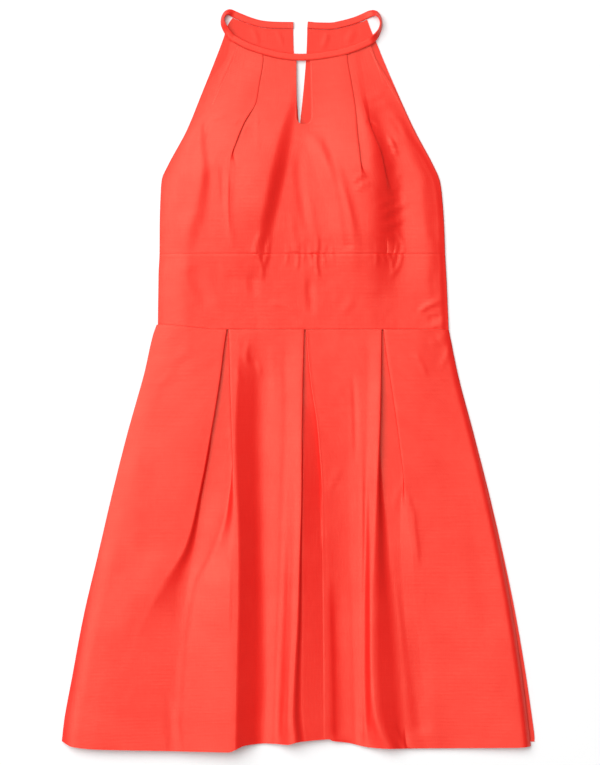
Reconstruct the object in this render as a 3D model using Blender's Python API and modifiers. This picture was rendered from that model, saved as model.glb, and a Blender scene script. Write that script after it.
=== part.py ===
"""Halter dress in plain taffeta, laid out flat on its back with the front up.

The back panels lie on the surface and the front panels lie on them. The skirt front has three
inverted pleats that are folded flat at the waist seam and open into soft ridges toward the hem.
The bodice front has three neckline tucks and a keyhole. A narrow neckband runs from the
centre-back slit along the left back, over the shoulder as a free loop, along the front
neckline, over the other shoulder and back to the slit.

Sizes are in millimetres until a mesh is made. +X is the dress's left side as seen from the
front, +Y runs from hem to neck and +Z points up out of the surface the dress lies on.
"""
import bisect
import math
from collections import namedtuple

import bpy
from mathutils import Vector

# ---------------------------------------------------------------- driving sizes (mm)
MM = 0.001
CLOTH = 1.1            # wall of every panel
SEAM = 0.3             # gap between two pieces at a seam, and between layers that touch
LAYER = 1.95           # height from one folded layer to the next, centre to centre
BACK_Z = CLOTH / 2                    # centre of the back wall, which rests on the surface
FRONT_Z = BACK_Z + CLOTH + SEAM       # centre of the front wall where it lies on the back

WAIST_Y = 62.2         # where the waist seam lies; the middle of the whole length is 0
CENTRE_X = 0.8         # centre-back seam
SHIFT_X = 0.6          # moves the outline so that its width is even about 0
SKIRT_LENGTH = 520.0   # waist seam to hem at the sides
UNDERBUST = 93.6       # height of the seam below the bust, above the waist seam
EDGE_RISE = 60.0       # how far in from a side seam the front has risen off the back
CREST_RADIUS = 2.4     # of the cloth where it turns over the edge of an open pleat

BAND_WIDTH = 8.5
BAND_THICK = 2.0
KEYHOLE_WIDTH = 17.5
KEYHOLE_X = 6.4
KEYHOLE_FOOT = 254.0   # above the waist seam
SLIT_FOOT = 261.0      # where the centre-back slit ends, above the waist seam

# ---------------------------------------------------------------- outlines (mm)
# "at" is the distance from the waist seam: down the skirt, or up the bodice.
Outline = namedtuple("Outline", "at left right")

FRONT_SKIRT_OUTLINE = (
    Outline(0, -176.0, 185.5),
    Outline(12, -180.5, 187.5),
    Outline(56, -191.8, 196.5),
    Outline(131, -212.9, 216.0),
    Outline(205, -231.5, 234.5),
    Outline(280, -248.9, 251.0),
    Outline(354, -266.2, 265.0),
    Outline(428, -279.9, 276.5),
    Outline(491, -290.5, 284.5),
    Outline(520, -293.5, 287.5),
)
BACK_SKIRT_OUTLINE = (
    Outline(0, -175.0, 186.0),
    Outline(12, -179.5, 188.5),
    Outline(56, -190.8, 197.6),
    Outline(131, -212.0, 217.4),
    Outline(205, -230.6, 236.2),
    Outline(280, -248.0, 253.4),
    Outline(354, -265.2, 268.4),
    Outline(428, -279.0, 280.8),
    Outline(491, -289.6, 289.6),
    Outline(512, -292.2, 292.3),
)
FRONT_BODICE_OUTLINE = (
    Outline(0, -174.6, 185.5),
    Outline(69, -173.6, 182.2),
    Outline(94, -172.2, 180.8),
    Outline(128, -171.8, 179.6),
    Outline(173, -170.4, 176.0),
    Outline(186, -169.0, 173.2),
    Outline(203, -161.6, 165.8),
    Outline(247, -138.2, 142.2),
    Outline(290, -120.6, 122.0),
    Outline(309, -110.5, 111.5),
    Outline(324, -98.5, 102.0),
    Outline(335, -90.5, 95.4),
    Outline(358, -84.0, 87.6),
)
BACK_BODICE_OUTLINE = (
    Outline(0, -174.6, 186.0),
    Outline(69, -173.8, 183.0),
    Outline(94, -172.6, 181.6),
    Outline(128, -172.4, 180.4),
    Outline(173, -171.0, 177.0),
    Outline(186, -169.8, 174.6),
    Outline(203, -162.4, 167.2),
    Outline(247, -138.8, 143.8),
    Outline(290, -121.2, 124.0),
    Outline(339, -101.6, 103.0),
    Outline(358, -94.4, 95.4),
    Outline(369, -90.6, 90.4),
    Outline(378, -87.6, 87.0),
    Outline(388, -80.8, 83.2),
)

# Edges that run across the dress, left to right.
Across = namedtuple("Across", "across height")

FRONT_NECKLINE = (
    Across(-84, 357.7),
    Across(-74, 351.9),
    Across(-63, 346.6),
    Across(-42, 339.8),
    Across(-20, 334.8),
    Across(2, 332.9),
    Across(20, 333.9),
    Across(39, 336.5),
    Across(58, 340.4),
    Across(77, 347.0),
    Across(88, 351.8),
)
LEFT_BACK_NECKLINE = (
    Across(-81.5, 386.6),
    Across(-69, 381.4),
    Across(-54, 376.2),
    Across(-42, 373.8),
    Across(-24, 372.8),
    Across(-6.8, 372.6),
)
RIGHT_BACK_NECKLINE = (
    Across(10.5, 373.2),
    Across(26, 372.0),
    Across(39, 371.9),
    Across(58, 375.4),
    Across(77, 381.2),
    Across(83.5, 384.2),
)
# How far below the waist the hem lies, across the skirt.
Hem = namedtuple("Hem", "across below")
FRONT_HEM = (
    Hem(-294, 510),
    Hem(-280, 517),
    Hem(-250, 520),
    Hem(-150, 522),
    Hem(-88, 520),
    Hem(-60, 511),
    Hem(-20, 510),
    Hem(0, 507),
    Hem(30, 505),
    Hem(60, 509),
    Hem(90, 515),
    Hem(120, 518),
    Hem(270, 518),
    Hem(292, 516),
)
BACK_HEM = (
    Hem(-294, 508),
    Hem(-260, 509),
    Hem(-80, 505),
    Hem(0, 502),
    Hem(80, 504),
    Hem(260, 510),
    Hem(294, 511),
)

# ---------------------------------------------------------------- folds (mm)
# A fold is where the cloth turns over an edge, runs back beneath it and turns again onto the
# layer below. "edge" is where it turns across the dress, "top" and "foot" are the heights of
# the layers above and below it, and "under" is how far it runs back beneath. Where "under" is
# negative the fold has opened into a slope that is that wide.
Fold = namedtuple("Fold", "at edge top foot under")

LEFT_PLEAT_OUTER = (
    Fold(0, -89.2, 5.9, 2.1, 28),
    Fold(22, -93.6, 6.1, 2.1, 27),
    Fold(59, -99.7, 6.5, 2.1, 24),
    Fold(108, -107.9, 7.1, 2.2, 19),
    Fold(153, -115.6, 7.4, 2.4, 14),
    Fold(203, -123.0, 7.6, 2.6, 9),
    Fold(245, -131.0, 7.4, 3.0, 4),
    Fold(277, -138.5, 6.8, 3.5, -2),
    Fold(307, -146.0, 6.0, 4.0, -8),
    Fold(360, -156.0, 5.0, 4.6, -16),
    Fold(520, -166.0, 4.7, 4.6, -22),
)
LEFT_PLEAT_INNER = (
    Fold(0, -87.0, 5.9, 2.1, 28),
    Fold(22, -86.4, 6.8, 2.1, 27),
    Fold(71, -85.2, 9.5, 2.2, 22),
    Fold(133, -83.0, 13.0, 2.5, 15),
    Fold(195, -80.2, 16.0, 3.2, 8),
    Fold(236, -77.6, 17.5, 4.2, 3),
    Fold(280, -76.8, 19.0, 5.4, -4),
    Fold(319, -76.9, 20.0, 6.4, -12),
    Fold(401, -78.6, 21.5, 6.8, -24),
    Fold(520, -81.0, 22.5, 6.6, -34),
)
MIDDLE_PLEAT_LEFT = (
    Fold(0, 6.8, 5.9, 2.1, 28),
    Fold(22, 5.9, 6.8, 2.1, 27),
    Fold(71, 3.7, 9.2, 2.1, 24),
    Fold(133, 2.4, 12.0, 2.2, 20),
    Fold(195, 1.6, 14.0, 2.4, 16),
    Fold(277, -0.9, 16.5, 2.8, 12),
    Fold(360, -2.8, 18.5, 3.2, 9),
    Fold(435, -7.6, 19.5, 3.6, 7),
    Fold(484, -8.2, 20.0, 3.8, 5),
    Fold(520, -3.0, 20.0, 4.0, 2),
)
MIDDLE_PLEAT_RIGHT = (
    Fold(0, 9.0, 5.9, 2.1, 28),
    Fold(22, 10.2, 6.1, 2.1, 26),
    Fold(71, 15.0, 7.0, 2.2, 20),
    Fold(112, 21.5, 8.0, 2.4, 14),
    Fold(160, 26.5, 8.8, 2.8, 9),
    Fold(205, 28.5, 9.2, 3.2, 5),
    Fold(250, 29.5, 9.2, 4.0, 0),
    Fold(300, 29.5, 9.0, 5.2, -8),
    Fold(360, 31.0, 8.6, 6.4, -14),
    Fold(520, 34.0, 8.4, 7.0, -18),
)
RIGHT_PLEAT_LEFT = (
    Fold(0, 102.8, 5.9, 2.1, 28),
    Fold(22, 101.8, 6.8, 2.1, 26),
    Fold(71, 99.8, 9.4, 2.1, 22),
    Fold(112, 98.7, 11.5, 2.1, 18),
    Fold(195, 96.9, 14.5, 2.2, 12),
    Fold(277, 96.4, 16.5, 2.4, 4),
    Fold(320, 95.6, 17.4, 2.6, -3),
    Fold(360, 94.9, 18.2, 2.8, -9),
    Fold(440, 96.4, 19.2, 3.2, -18),
    Fold(520, 99.5, 20.0, 3.6, -24),
)
RIGHT_PLEAT_RIGHT = (
    Fold(0, 105.0, 5.9, 2.1, 28),
    Fold(25, 107.8, 6.2, 2.1, 25),
    Fold(91, 117.8, 6.8, 2.2, 15),
    Fold(162, 127.4, 7.0, 2.5, 7),
    Fold(190, 130.4, 6.8, 2.9, 3),
    Fold(225, 134.0, 6.2, 3.4, -4),
    Fold(270, 140.0, 5.6, 4.2, -12),
    Fold(360, 148.0, 5.0, 4.6, -18),
    Fold(520, 156.0, 4.8, 4.6, -22),
)

# Between two pleats the cloth hangs in a trough, then climbs to the next edge.
Trough = namedtuple("Trough", "at low_x low crest_x crest")
LEFT_TROUGH = (
    Trough(0, -45.0, 5.9, -20.0, 5.9),
    Trough(22, -48.0, 5.7, -20.0, 6.2),
    Trough(71, -50.0, 5.0, -18.0, 7.4),
    Trough(133, -50.5, 4.0, -16.0, 8.8),
    Trough(195, -50.0, 3.2, -16.0, 10.0),
    Trough(277, -49.5, 2.8, -18.0, 12.0),
    Trough(360, -49.5, 2.6, -20.0, 13.5),
    Trough(440, -50.0, 2.6, -24.0, 14.5),
    Trough(520, -50.5, 2.6, -24.0, 14.0),
)
RIGHT_TROUGH = (
    Trough(0, 58.0, 5.9, 84.0, 5.9),
    Trough(22, 58.0, 5.9, 84.0, 6.6),
    Trough(71, 58.0, 6.2, 84.0, 8.6),
    Trough(133, 58.0, 6.2, 83.0, 11.2),
    Trough(195, 58.0, 5.8, 82.0, 13.2),
    Trough(277, 58.0, 4.6, 81.0, 15.6),
    Trough(330, 58.0, 3.4, 80.5, 17.0),
    Trough(400, 57.5, 2.8, 80.5, 18.6),
    Trough(520, 58.0, 2.8, 82.0, 19.6),
)

# Tucks stitched into the neckline. Their heights are added to the height of the bodice there.
LEFT_TUCK = (
    Fold(150, -87.0, 0.1, 0.0, -10),
    Fold(190, -87.0, 0.6, 0.0, -10),
    Fold(204, -85.0, 2.2, 0.0, -7),
    Fold(216, -81.5, 3.6, 0.0, -3),
    Fold(228, -77.5, 3.9, 0.0, 2),
    Fold(240, -71.8, 3.9, 0.0, 5),
    Fold(257, -64.6, 3.9, 0.0, 7),
    Fold(275, -55.8, 3.9, 0.0, 7),
    Fold(304, -49.2, 3.9, 0.0, 8),
    Fold(340, -45.0, 3.9, 0.0, 9),
)
RIGHT_TUCK = (
    Fold(150, 77.0, 0.1, 0.0, -10),
    Fold(176, 77.0, 0.6, 0.0, -10),
    Fold(190, 77.2, 2.2, 0.0, -7),
    Fold(202, 77.8, 3.6, 0.0, -3),
    Fold(214, 78.3, 3.9, 0.0, 2),
    Fold(240, 76.0, 3.9, 0.0, 5),
    Fold(270, 71.6, 3.9, 0.0, 6),
    Fold(302, 64.9, 3.9, 0.0, 8),
    Fold(340, 59.6, 3.9, 0.0, 9),
)
OUTER_TUCK = (
    Fold(130, 109.0, 0.1, 0.0, -10),
    Fold(160, 109.0, 0.6, 0.0, -10),
    Fold(174, 108.8, 2.2, 0.0, -7),
    Fold(188, 107.8, 3.6, 0.0, -3),
    Fold(204, 105.4, 3.9, 0.0, 2),
    Fold(220, 101.8, 3.9, 0.0, 4),
    Fold(238, 94.4, 3.9, 0.0, 3),
    Fold(252, 88.6, 3.6, 0.0, -1),
    Fold(266, 84.0, 2.6, 0.0, -4),
    Fold(280, 80.0, 1.2, 0.0, -6),
    Fold(294, 77.0, 0.4, 0.0, -7),
    Fold(340, 74.0, 0.1, 0.0, -7),
)

# How high the front stands off the back along the middle, above the waist seam.
Crown = namedtuple("Crown", "at rise")
BODICE_CROWN = (
    Crown(0, 3.95),
    Crown(50, 5.0),
    Crown(94, 6.6),
    Crown(150, 8.0),
    Crown(200, 8.0),
    Crown(250, 5.4),
    Crown(300, 2.4),
    Crown(345, 0.8),
)
# Soft ridges over the bust. "gentle" is the width of the left slope, "steep" of the right one.
Ridge = namedtuple("Ridge", "at across height gentle steep")
LEFT_BUST_RIDGE = (
    Ridge(56, -57.0, 0.0, 60, 17),
    Ridge(94, -53.5, 3.5, 62, 17),
    Ridge(125, -49.5, 7.0, 66, 18),
    Ridge(160, -45.5, 9.5, 70, 19),
    Ridge(200, -40.5, 10.5, 70, 19),
    Ridge(235, -31.0, 9.5, 64, 18),
    Ridge(262, -20.5, 7.5, 54, 17),
    Ridge(300, -10.0, 4.5, 40, 13),
    Ridge(334, -7.0, 1.5, 30, 10),
)
RIGHT_BUST_RIDGE = (
    Ridge(56, 101.0, 0.0, 50, 28),
    Ridge(94, 99.5, 4.5, 52, 30),
    Ridge(125, 98.5, 8.0, 56, 34),
    Ridge(173, 98.0, 10.5, 60, 40),
    Ridge(222, 93.0, 8.5, 56, 40),
    Ridge(260, 80.0, 4.0, 46, 34),
    Ridge(296, 70.0, 0.0, 40, 30),
)
SIDE_RIDGE = (
    Ridge(118, -142.0, 0.0, 24, 13),
    Ridge(142, -135.0, 2.6, 26, 13),
    Ridge(198, -122.0, 4.4, 28, 13),
    Ridge(246, -121.0, 2.8, 22, 12),
    Ridge(268, -122.0, 0.0, 20, 11),
)
CENTRE_RIDGE = (
    Ridge(70, 68.0, 0.0, 18, 18),
    Ridge(100, 65.0, 2.0, 18, 18),
    Ridge(140, 58.0, 3.0, 19, 19),
    Ridge(185, 45.0, 3.2, 20, 20),
    Ridge(232, 20.0, 2.0, 18, 18),
    Ridge(252, 9.0, 0.0, 16, 16),
)
BODICE_RIDGES = (LEFT_BUST_RIDGE, RIGHT_BUST_RIDGE, SIDE_RIDGE, CENTRE_RIDGE)

# The neckband where it lies free: two loops over the shoulders. "roll" is how far the band
# leans up on its outer edge, in degrees, and "lift" how high that edge is off the surface.
Station = namedtuple("Station", "x up lift roll")
LEFT_LOOP = (
    Station(-85.4, 393.2, 0.0, 28),
    Station(-90.4, 391.9, 0.1, 56),
    Station(-93.9, 386.4, 0.4, 66),
    Station(-93.8, 379.6, 0.9, 54),
    Station(-91.0, 373.2, 2.0, 34),
    Station(-86.8, 367.0, 3.0, 14),
)
RIGHT_LOOP = (
    Station(92.2, 360.0, 3.0, 20),
    Station(97.4, 365.8, 1.7, 50),
    Station(100.9, 373.0, 0.6, 72),
    Station(102.0, 380.4, 0.2, 78),
    Station(100.0, 387.4, 0.1, 68),
    Station(95.2, 391.9, 0.1, 44),
    Station(88.6, 391.4, 0.0, 14),
)
FRONT_BAND_LIFT = 3.4

# ---------------------------------------------------------------- working functions


def between(rows, at):
    """Row of a table at a place between two of its rows, on curves that never overshoot."""
    keys = [row[0] for row in rows]
    if at <= keys[0]:
        return rows[0]
    if at >= keys[-1]:
        return rows[-1]
    i = bisect.bisect_right(keys, at) - 1
    span = keys[i + 1] - keys[i]
    t = (at - keys[i]) / span
    values = [at]
    for column in range(1, len(rows[0])):
        steps = []
        for j in range(i - 1, i + 2):
            if 0 <= j < len(rows) - 1:
                steps.append((rows[j + 1][column] - rows[j][column]) / (keys[j + 1] - keys[j]))
            else:
                steps.append(None)
        before, here, after = steps
        start = here if before is None else shared_slope(before, here)
        end = here if after is None else shared_slope(here, after)
        a, b = rows[i][column], rows[i + 1][column]
        values.append(
            a * (1 + 2 * t) * (1 - t) ** 2
            + start * span * t * (1 - t) ** 2
            + b * t * t * (3 - 2 * t)
            + end * span * t * t * (t - 1)
        )
    return type(rows[0])(*values)


def shared_slope(a, b):
    """Slope where two straight stretches meet, zero at a high or low point."""
    return 0.0 if a * b <= 0 else 2 * a * b / (a + b)


def ease(t):
    """0 to 1 with level ends."""
    t = min(1.0, max(0.0, t))
    return t * t * (3 - 2 * t)


def fold_line(fold, steps=3):
    """Points (across, height) where cloth coming from the left turns down over a fold."""
    drop = max(fold.top - fold.foot, 0.02)
    crest = min(drop / 4, CREST_RADIUS)
    knee = min(drop / 4, LAYER / 2)
    across = crest + knee - fold.under
    start = fold.edge - crest
    opened = max(0.0, -fold.under)
    widest = 0.96 * (across * across + drop * drop) / (2 * drop)
    both = min(crest + knee + 2 * opened, max(widest, crest + knee))
    crest = both * crest / (crest + knee)
    knee = both - crest
    reach = math.hypot(across, both - drop)
    turn = math.atan2(across, both - drop) % (2 * math.pi) - math.acos(min(1.0, both / reach))
    turn = max(turn, 0.001)
    if abs(math.cos(turn)) > abs(math.sin(turn)):
        straight = (across - both * math.sin(turn)) / math.cos(turn)
    else:
        straight = (drop - both * (1 - math.cos(turn))) / math.sin(turn)
    first, last = crest * turn, knee * turn
    total = first + straight + last
    least = 0.16 * total * max(0.0, 1 - turn / 2)
    points = []
    for i in range(2 * steps + 2):
        if i <= steps:
            mark = max(first, least) * i / steps
        else:
            mark = total - max(last, least) * (2 * steps + 1 - i) / steps
        if mark <= first:
            angle = mark / crest
            x = crest * math.sin(angle)
            z = -crest * (1 - math.cos(angle))
        elif mark <= first + straight:
            run = mark - first
            x = crest * math.sin(turn) + run * math.cos(turn)
            z = -crest * (1 - math.cos(turn)) - run * math.sin(turn)
        else:
            angle = (total - mark) / knee
            x = across - knee * math.sin(angle)
            z = -drop + knee * (1 - math.cos(angle))
        points.append((start + x, fold.top + z))
    return points


def rising_line(fold, steps=3):
    """The same fold seen from the other side: the cloth comes from below and turns up."""
    mirrored = fold_line(fold._replace(edge=-fold.edge), steps)
    return [(-x, z) for x, z in reversed(mirrored)]


def drape(start, end, steps):
    """Points between two places, level at both, without the two ends."""
    points = []
    for i in range(1, steps):
        t = i / steps
        points.append((
            start[0] + (end[0] - start[0]) * t,
            start[1] + (end[1] - start[1]) * ease(t),
        ))
    return points


def skirt_section(at):
    """Points (across, height) of the skirt front at a distance below the waist seam."""
    outline = between(FRONT_SKIRT_OUTLINE, at)
    outer = between(LEFT_PLEAT_OUTER, at)
    far = between(RIGHT_PLEAT_RIGHT, at)
    first = fold_line(outer)
    second = rising_line(between(LEFT_PLEAT_INNER, at))
    third = fold_line(between(MIDDLE_PLEAT_LEFT, at))
    fourth = rising_line(between(MIDDLE_PLEAT_RIGHT, at))
    fifth = fold_line(between(RIGHT_PLEAT_LEFT, at))
    sixth = rising_line(far)
    left = between(LEFT_TROUGH, at)
    right = between(RIGHT_TROUGH, at)
    side_left = (outline.left, FRONT_Z)
    side_right = (outline.right, FRONT_Z)
    left_low = (left.low_x, left.low)
    left_crest = (left.crest_x, left.crest)
    right_low = (right.low_x, right.low)
    right_crest = (right.crest_x, right.crest)
    risen_left = (outer.edge - max(outer.under, 0) - 12, outer.top)
    risen_right = (far.edge + max(far.under, 0) + 12, far.top)
    line = [side_left]
    line += drape(side_left, risen_left, 4) + [risen_left] + drape(risen_left, first[0], 2) + first
    line += drape(first[-1], second[0], 3) + second
    line += drape(second[-1], left_low, 4) + [left_low]
    line += drape(left_low, left_crest, 3) + [left_crest]
    line += drape(left_crest, third[0], 2) + third
    line += drape(third[-1], fourth[0], 2) + fourth
    line += drape(fourth[-1], right_low, 3) + [right_low]
    line += drape(right_low, right_crest, 3) + [right_crest]
    line += drape(right_crest, fifth[0], 2) + fifth
    line += drape(fifth[-1], sixth[0], 2) + sixth
    line += drape(sixth[-1], risen_right, 2) + [risen_right]
    line += drape(risen_right, side_right, 4) + [side_right]
    return line


def hem_reach(hem, across, at):
    """Distance below the waist of a point of the skirt, drawn in where the hem is short."""
    short = SKIRT_LENGTH - between(hem, across).below
    return at - short * (at / SKIRT_LENGTH) ** 3


def bodice_height(x, at):
    """Height of the front's wall above the surface, without its tucks."""
    outline = between(FRONT_BODICE_OUTLINE, at)
    inside = min(x - outline.left, outline.right - x)
    height = FRONT_Z + between(BODICE_CROWN, at).rise * ease(inside / EDGE_RISE)
    for table in BODICE_RIDGES:
        if not table[0].at < at < table[-1].at:
            continue
        ridge = between(table, at)
        away = x - ridge.across
        width = ridge.gentle if away < 0 else ridge.steep
        height += ridge.height * ease(1 - abs(away) / width) * ease(inside / 25)
    return height


def bodice_section(at):
    """Points (across, height) of the bodice front, with its tucks."""
    outline = between(FRONT_BODICE_OUTLINE, at)
    first = fold_line(between(LEFT_TUCK, at), 4)
    second = fold_line(between(RIGHT_TUCK, at), 4)
    third = fold_line(between(OUTER_TUCK, at), 4)
    side_left = (outline.left, 0.0)
    side_right = (outline.right, 0.0)
    line = [side_left]
    line += drape(side_left, first[0], 6) + first
    line += drape(first[-1], second[0], 10) + second
    line += drape(second[-1], third[0], 2) + third
    line += drape(third[-1], side_right, 5) + [side_right]
    return line


def place(x, up, z):
    """A point of the dress, in metres: across, above the waist seam, and height."""
    return Vector(((x + SHIFT_X) * MM, (WAIST_Y + up) * MM, z * MM))


# ---------------------------------------------------------------- meshes


def coral_cloth(name, roughness):
    """Coral taffeta: a clear orange red with a soft, slightly silky shine."""
    material = bpy.data.materials.new(name)
    material.use_nodes = True
    shader = material.node_tree.nodes["Principled BSDF"]
    shader.inputs["Base Color"].default_value = (0.90, 0.085, 0.055, 1.0)
    shader.inputs["Roughness"].default_value = roughness
    shader.inputs["Metallic"].default_value = 0.0
    material.diffuse_color = (0.90, 0.085, 0.055, 1.0)
    return material


def panel(name, grid, wall=CLOTH, roughness=0.55):
    """A piece of cloth: an open surface through rows of points, given a wall by Solidify."""
    columns = len(grid[0])
    points = [point for row in grid for point in row]
    faces = []
    for i in range(len(grid) - 1):
        for j in range(columns - 1):
            a = i * columns + j
            faces.append((a, a + columns, a + columns + 1, a + 1))
    mesh = bpy.data.meshes.new(name)
    mesh.from_pydata(points, [], faces)
    mesh.update()
    mesh.shade_smooth()
    mesh.set_sharp_from_angle(angle=math.radians(40))
    mesh.materials.append(coral_cloth(name + "_taffeta", roughness))
    piece = bpy.data.objects.new(name, mesh)
    dress.objects.link(piece)
    piece.parent = dress_origin
    thickness = piece.modifiers.new("Wall", "SOLIDIFY")
    thickness.thickness = wall * MM
    thickness.offset = 0.0
    thickness.use_even_offset = True
    thickness.use_quality_normals = True
    return piece


def make_front_skirt():
    rows = (0.15, 10, 24, 46, 74, 106, 140, 176, 212, 248, 284, 322, 362, 404, 446, 486, 520)
    grid = []
    for at in rows:
        line = skirt_section(at)
        grid.append([place(x, -hem_reach(FRONT_HEM, x, at), z) for x, z in line])
    return panel("front_skirt", grid)


def make_front_midriff():
    low = SEAM / 2
    high = UNDERBUST - SEAM / 2
    grid = []
    for i in range(6):
        at = high + (low - high) * i / 5
        outline = between(FRONT_BODICE_OUTLINE, at)
        row = []
        for j in range(31):
            x = outline.left + (outline.right - outline.left) * j / 30
            row.append(place(x, at, bodice_height(x, at)))
        grid.append(row)
    return panel("front_midriff", grid)


def half_width(side, at):
    """Width of the bodice front from the middle to its left or right edge."""
    outline = between(FRONT_BODICE_OUTLINE, at)
    return outline.right if side > 0 else -outline.left


def neckline_at(side):
    """Height of the neckline at a share of the way to the armhole, -1 to 1."""
    height = FRONT_NECKLINE[len(FRONT_NECKLINE) // 2].height
    for _ in range(8):
        height = between(FRONT_NECKLINE, side * half_width(side, height)).height
    return height


def make_front_bodice():
    """Rows curve more and more toward the neckline, which is the top row."""
    low = UNDERBUST + SEAM / 2
    lowest_neck = min(row.height for row in FRONT_NECKLINE)
    levels = (1.0, 0.93, 0.85, 0.77, 0.69, 0.62, 0.55, 0.48, 0.42, 0.36, 0.30, 0.24, 0.17, 0.09, 0.0)
    grid = []
    for level in levels:
        flat = low + (lowest_neck - low) * level
        row = []
        for x, lift in bodice_section(flat):
            side = x / half_width(x, flat)
            curve = neckline_at(side) - lowest_neck
            up = flat + curve * level ** 3
            x = side * half_width(x, up)
            row.append(place(x, up, bodice_height(x, up) + lift))
        grid.append(row)
    piece = panel("front_bodice", grid)
    cut_keyhole(piece)
    return piece


def cut_keyhole(piece):
    """A teardrop slot down from the neckline, open at the top under the neckband."""
    half = KEYHOLE_WIDTH / 2
    foot = KEYHOLE_FOOT
    outline = []
    for i in range(13):
        angle = math.pi + math.pi * i / 12
        outline.append((KEYHOLE_X + half * 0.92 * math.cos(angle), foot + half * (1 + math.sin(angle))))
    outline += [(KEYHOLE_X + half, foot + 24), (KEYHOLE_X + half * 0.9, foot + 60)]
    outline += [(KEYHOLE_X + half * 0.84, foot + 110), (KEYHOLE_X - half * 1.04, foot + 110)]
    outline += [(KEYHOLE_X - half * 1.06, foot + 60), (KEYHOLE_X - half, foot + 24)]
    curve = bpy.data.curves.new("keyhole_outline", "CURVE")
    curve.dimensions = "2D"
    curve.fill_mode = "BOTH"
    curve.extrude = 30 * MM
    spline = curve.splines.new("POLY")
    spline.points.add(len(outline) - 1)
    for point, (x, up) in zip(spline.points, outline):
        spot = place(x, up, 0.0)
        point.co = (spot.x, spot.y, 0.0, 1.0)
    spline.use_cyclic_u = True
    outline_object = bpy.data.objects.new("keyhole_outline", curve)
    cutters.objects.link(outline_object)
    bpy.context.view_layer.update()
    evaluated = outline_object.evaluated_get(bpy.context.evaluated_depsgraph_get())
    mesh = bpy.data.meshes.new_from_object(evaluated)
    bpy.data.objects.remove(outline_object)
    weld_and_close(mesh)
    cutter = bpy.data.objects.new("keyhole_cutter", mesh)
    cutters.objects.link(cutter)
    cutter.hide_render = True
    cutter.display_type = "WIRE"
    cut = piece.modifiers.new("Keyhole", "BOOLEAN")
    cut.operation = "DIFFERENCE"
    cut.solver = "EXACT"
    cut.object = cutter


def weld_and_close(mesh):
    """Joins the loose caps of a filled curve to its sides."""
    import bmesh
    work = bmesh.new()
    work.from_mesh(mesh)
    bmesh.ops.remove_doubles(work, verts=work.verts, dist=0.00001)
    bmesh.ops.recalc_face_normals(work, faces=work.faces)
    work.to_mesh(mesh)
    work.free()


def slit_edge(side, at):
    """Half the width of the centre-back slit at a height above the waist seam."""
    if at <= SLIT_FOOT:
        return SEAM / 2
    opened = (at - SLIT_FOOT) / (372.0 - SLIT_FOOT)
    widest = 7.6 if side < 0 else 9.6
    return SEAM / 2 + (widest - SEAM / 2) * min(1.0, opened) ** 0.9


def make_back_bodice(name, side, neckline):
    """One back half, flat on the surface, from the waist seam to the neckline."""
    low = SEAM / 2
    lowest_neck = min(row.height for row in neckline)
    levels = (1.0, 0.95, 0.89, 0.82, 0.74, 0.66, 0.57, 0.50, 0.46, 0.34, 0.17, 0.0)
    grid = []
    for level in levels:
        flat = low + (lowest_neck - low) * level
        row = []
        for j in range(8):
            share = j / 7
            neck_x = neckline[0].across + (neckline[-1].across - neckline[0].across) * share
            up = flat + (between(neckline, neck_x).height - lowest_neck) * level ** 6
            outline = between(BACK_BODICE_OUTLINE, up)
            slit = CENTRE_X + side * slit_edge(side, up)
            outer = outline.left if side < 0 else outline.right
            left, right = (outer, slit) if side < 0 else (slit, outer)
            x = left + (right - left) * share
            x += (neck_x - x) * level ** 6
            row.append(place(x, up, BACK_Z))
        grid.append(row)
    return panel(name, grid)


def make_back_skirt(name, side):
    """One back half of the skirt, flat on the surface."""
    rows = (0.15, 12, 56, 131, 205, 280, 354, 428, 491, 520)
    grid = []
    for at in rows:
        row = []
        for j in range(7):
            outline = between(BACK_SKIRT_OUTLINE, min(at, 512))
            seam = CENTRE_X + side * SEAM / 2
            outer = outline.left if side < 0 else outline.right
            left, right = (outer, seam) if side < 0 else (seam, outer)
            x = left + (right - left) * j / 6
            row.append(place(x, -hem_reach(BACK_HEM, x, at), BACK_Z))
        grid.append(row)
    return panel(name, grid)


def along_edge(neckline, lift, count):
    """Neckband stations beside a neckline, half the band's width and a seam away from it."""
    away = BAND_WIDTH / 2 + SEAM
    left, right = neckline[0].across, neckline[-1].across
    stations = []
    for i in range(count + 1):
        x = left + (right - left) * i / count
        up = between(neckline, x).height
        before, after = max(left, x - 1), min(right, x + 1)
        rise = between(neckline, after).height - between(neckline, before).height
        run = Vector((after - before, rise)).normalized()
        stations.append(Station(x - run.y * away, up + run.x * away, lift, 0.0))
    return stations


def curve_through(stations, share):
    """Smooth curve through all the stations, from 0 to 1."""
    place_on = share * (len(stations) - 1)
    i = min(int(place_on), len(stations) - 2)
    t = place_on - i
    p0 = stations[max(0, i - 1)]
    p1 = stations[i]
    p2 = stations[i + 1]
    p3 = stations[min(len(stations) - 1, i + 2)]
    values = []
    for a, b, c, d in zip(p0, p1, p2, p3):
        values.append(0.5 * (
            2 * b + (c - a) * t
            + (2 * a - 5 * b + 4 * c - d) * t * t
            + (3 * b - a - 3 * c + d) * t ** 3
        ))
    return Station(*values)


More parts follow.
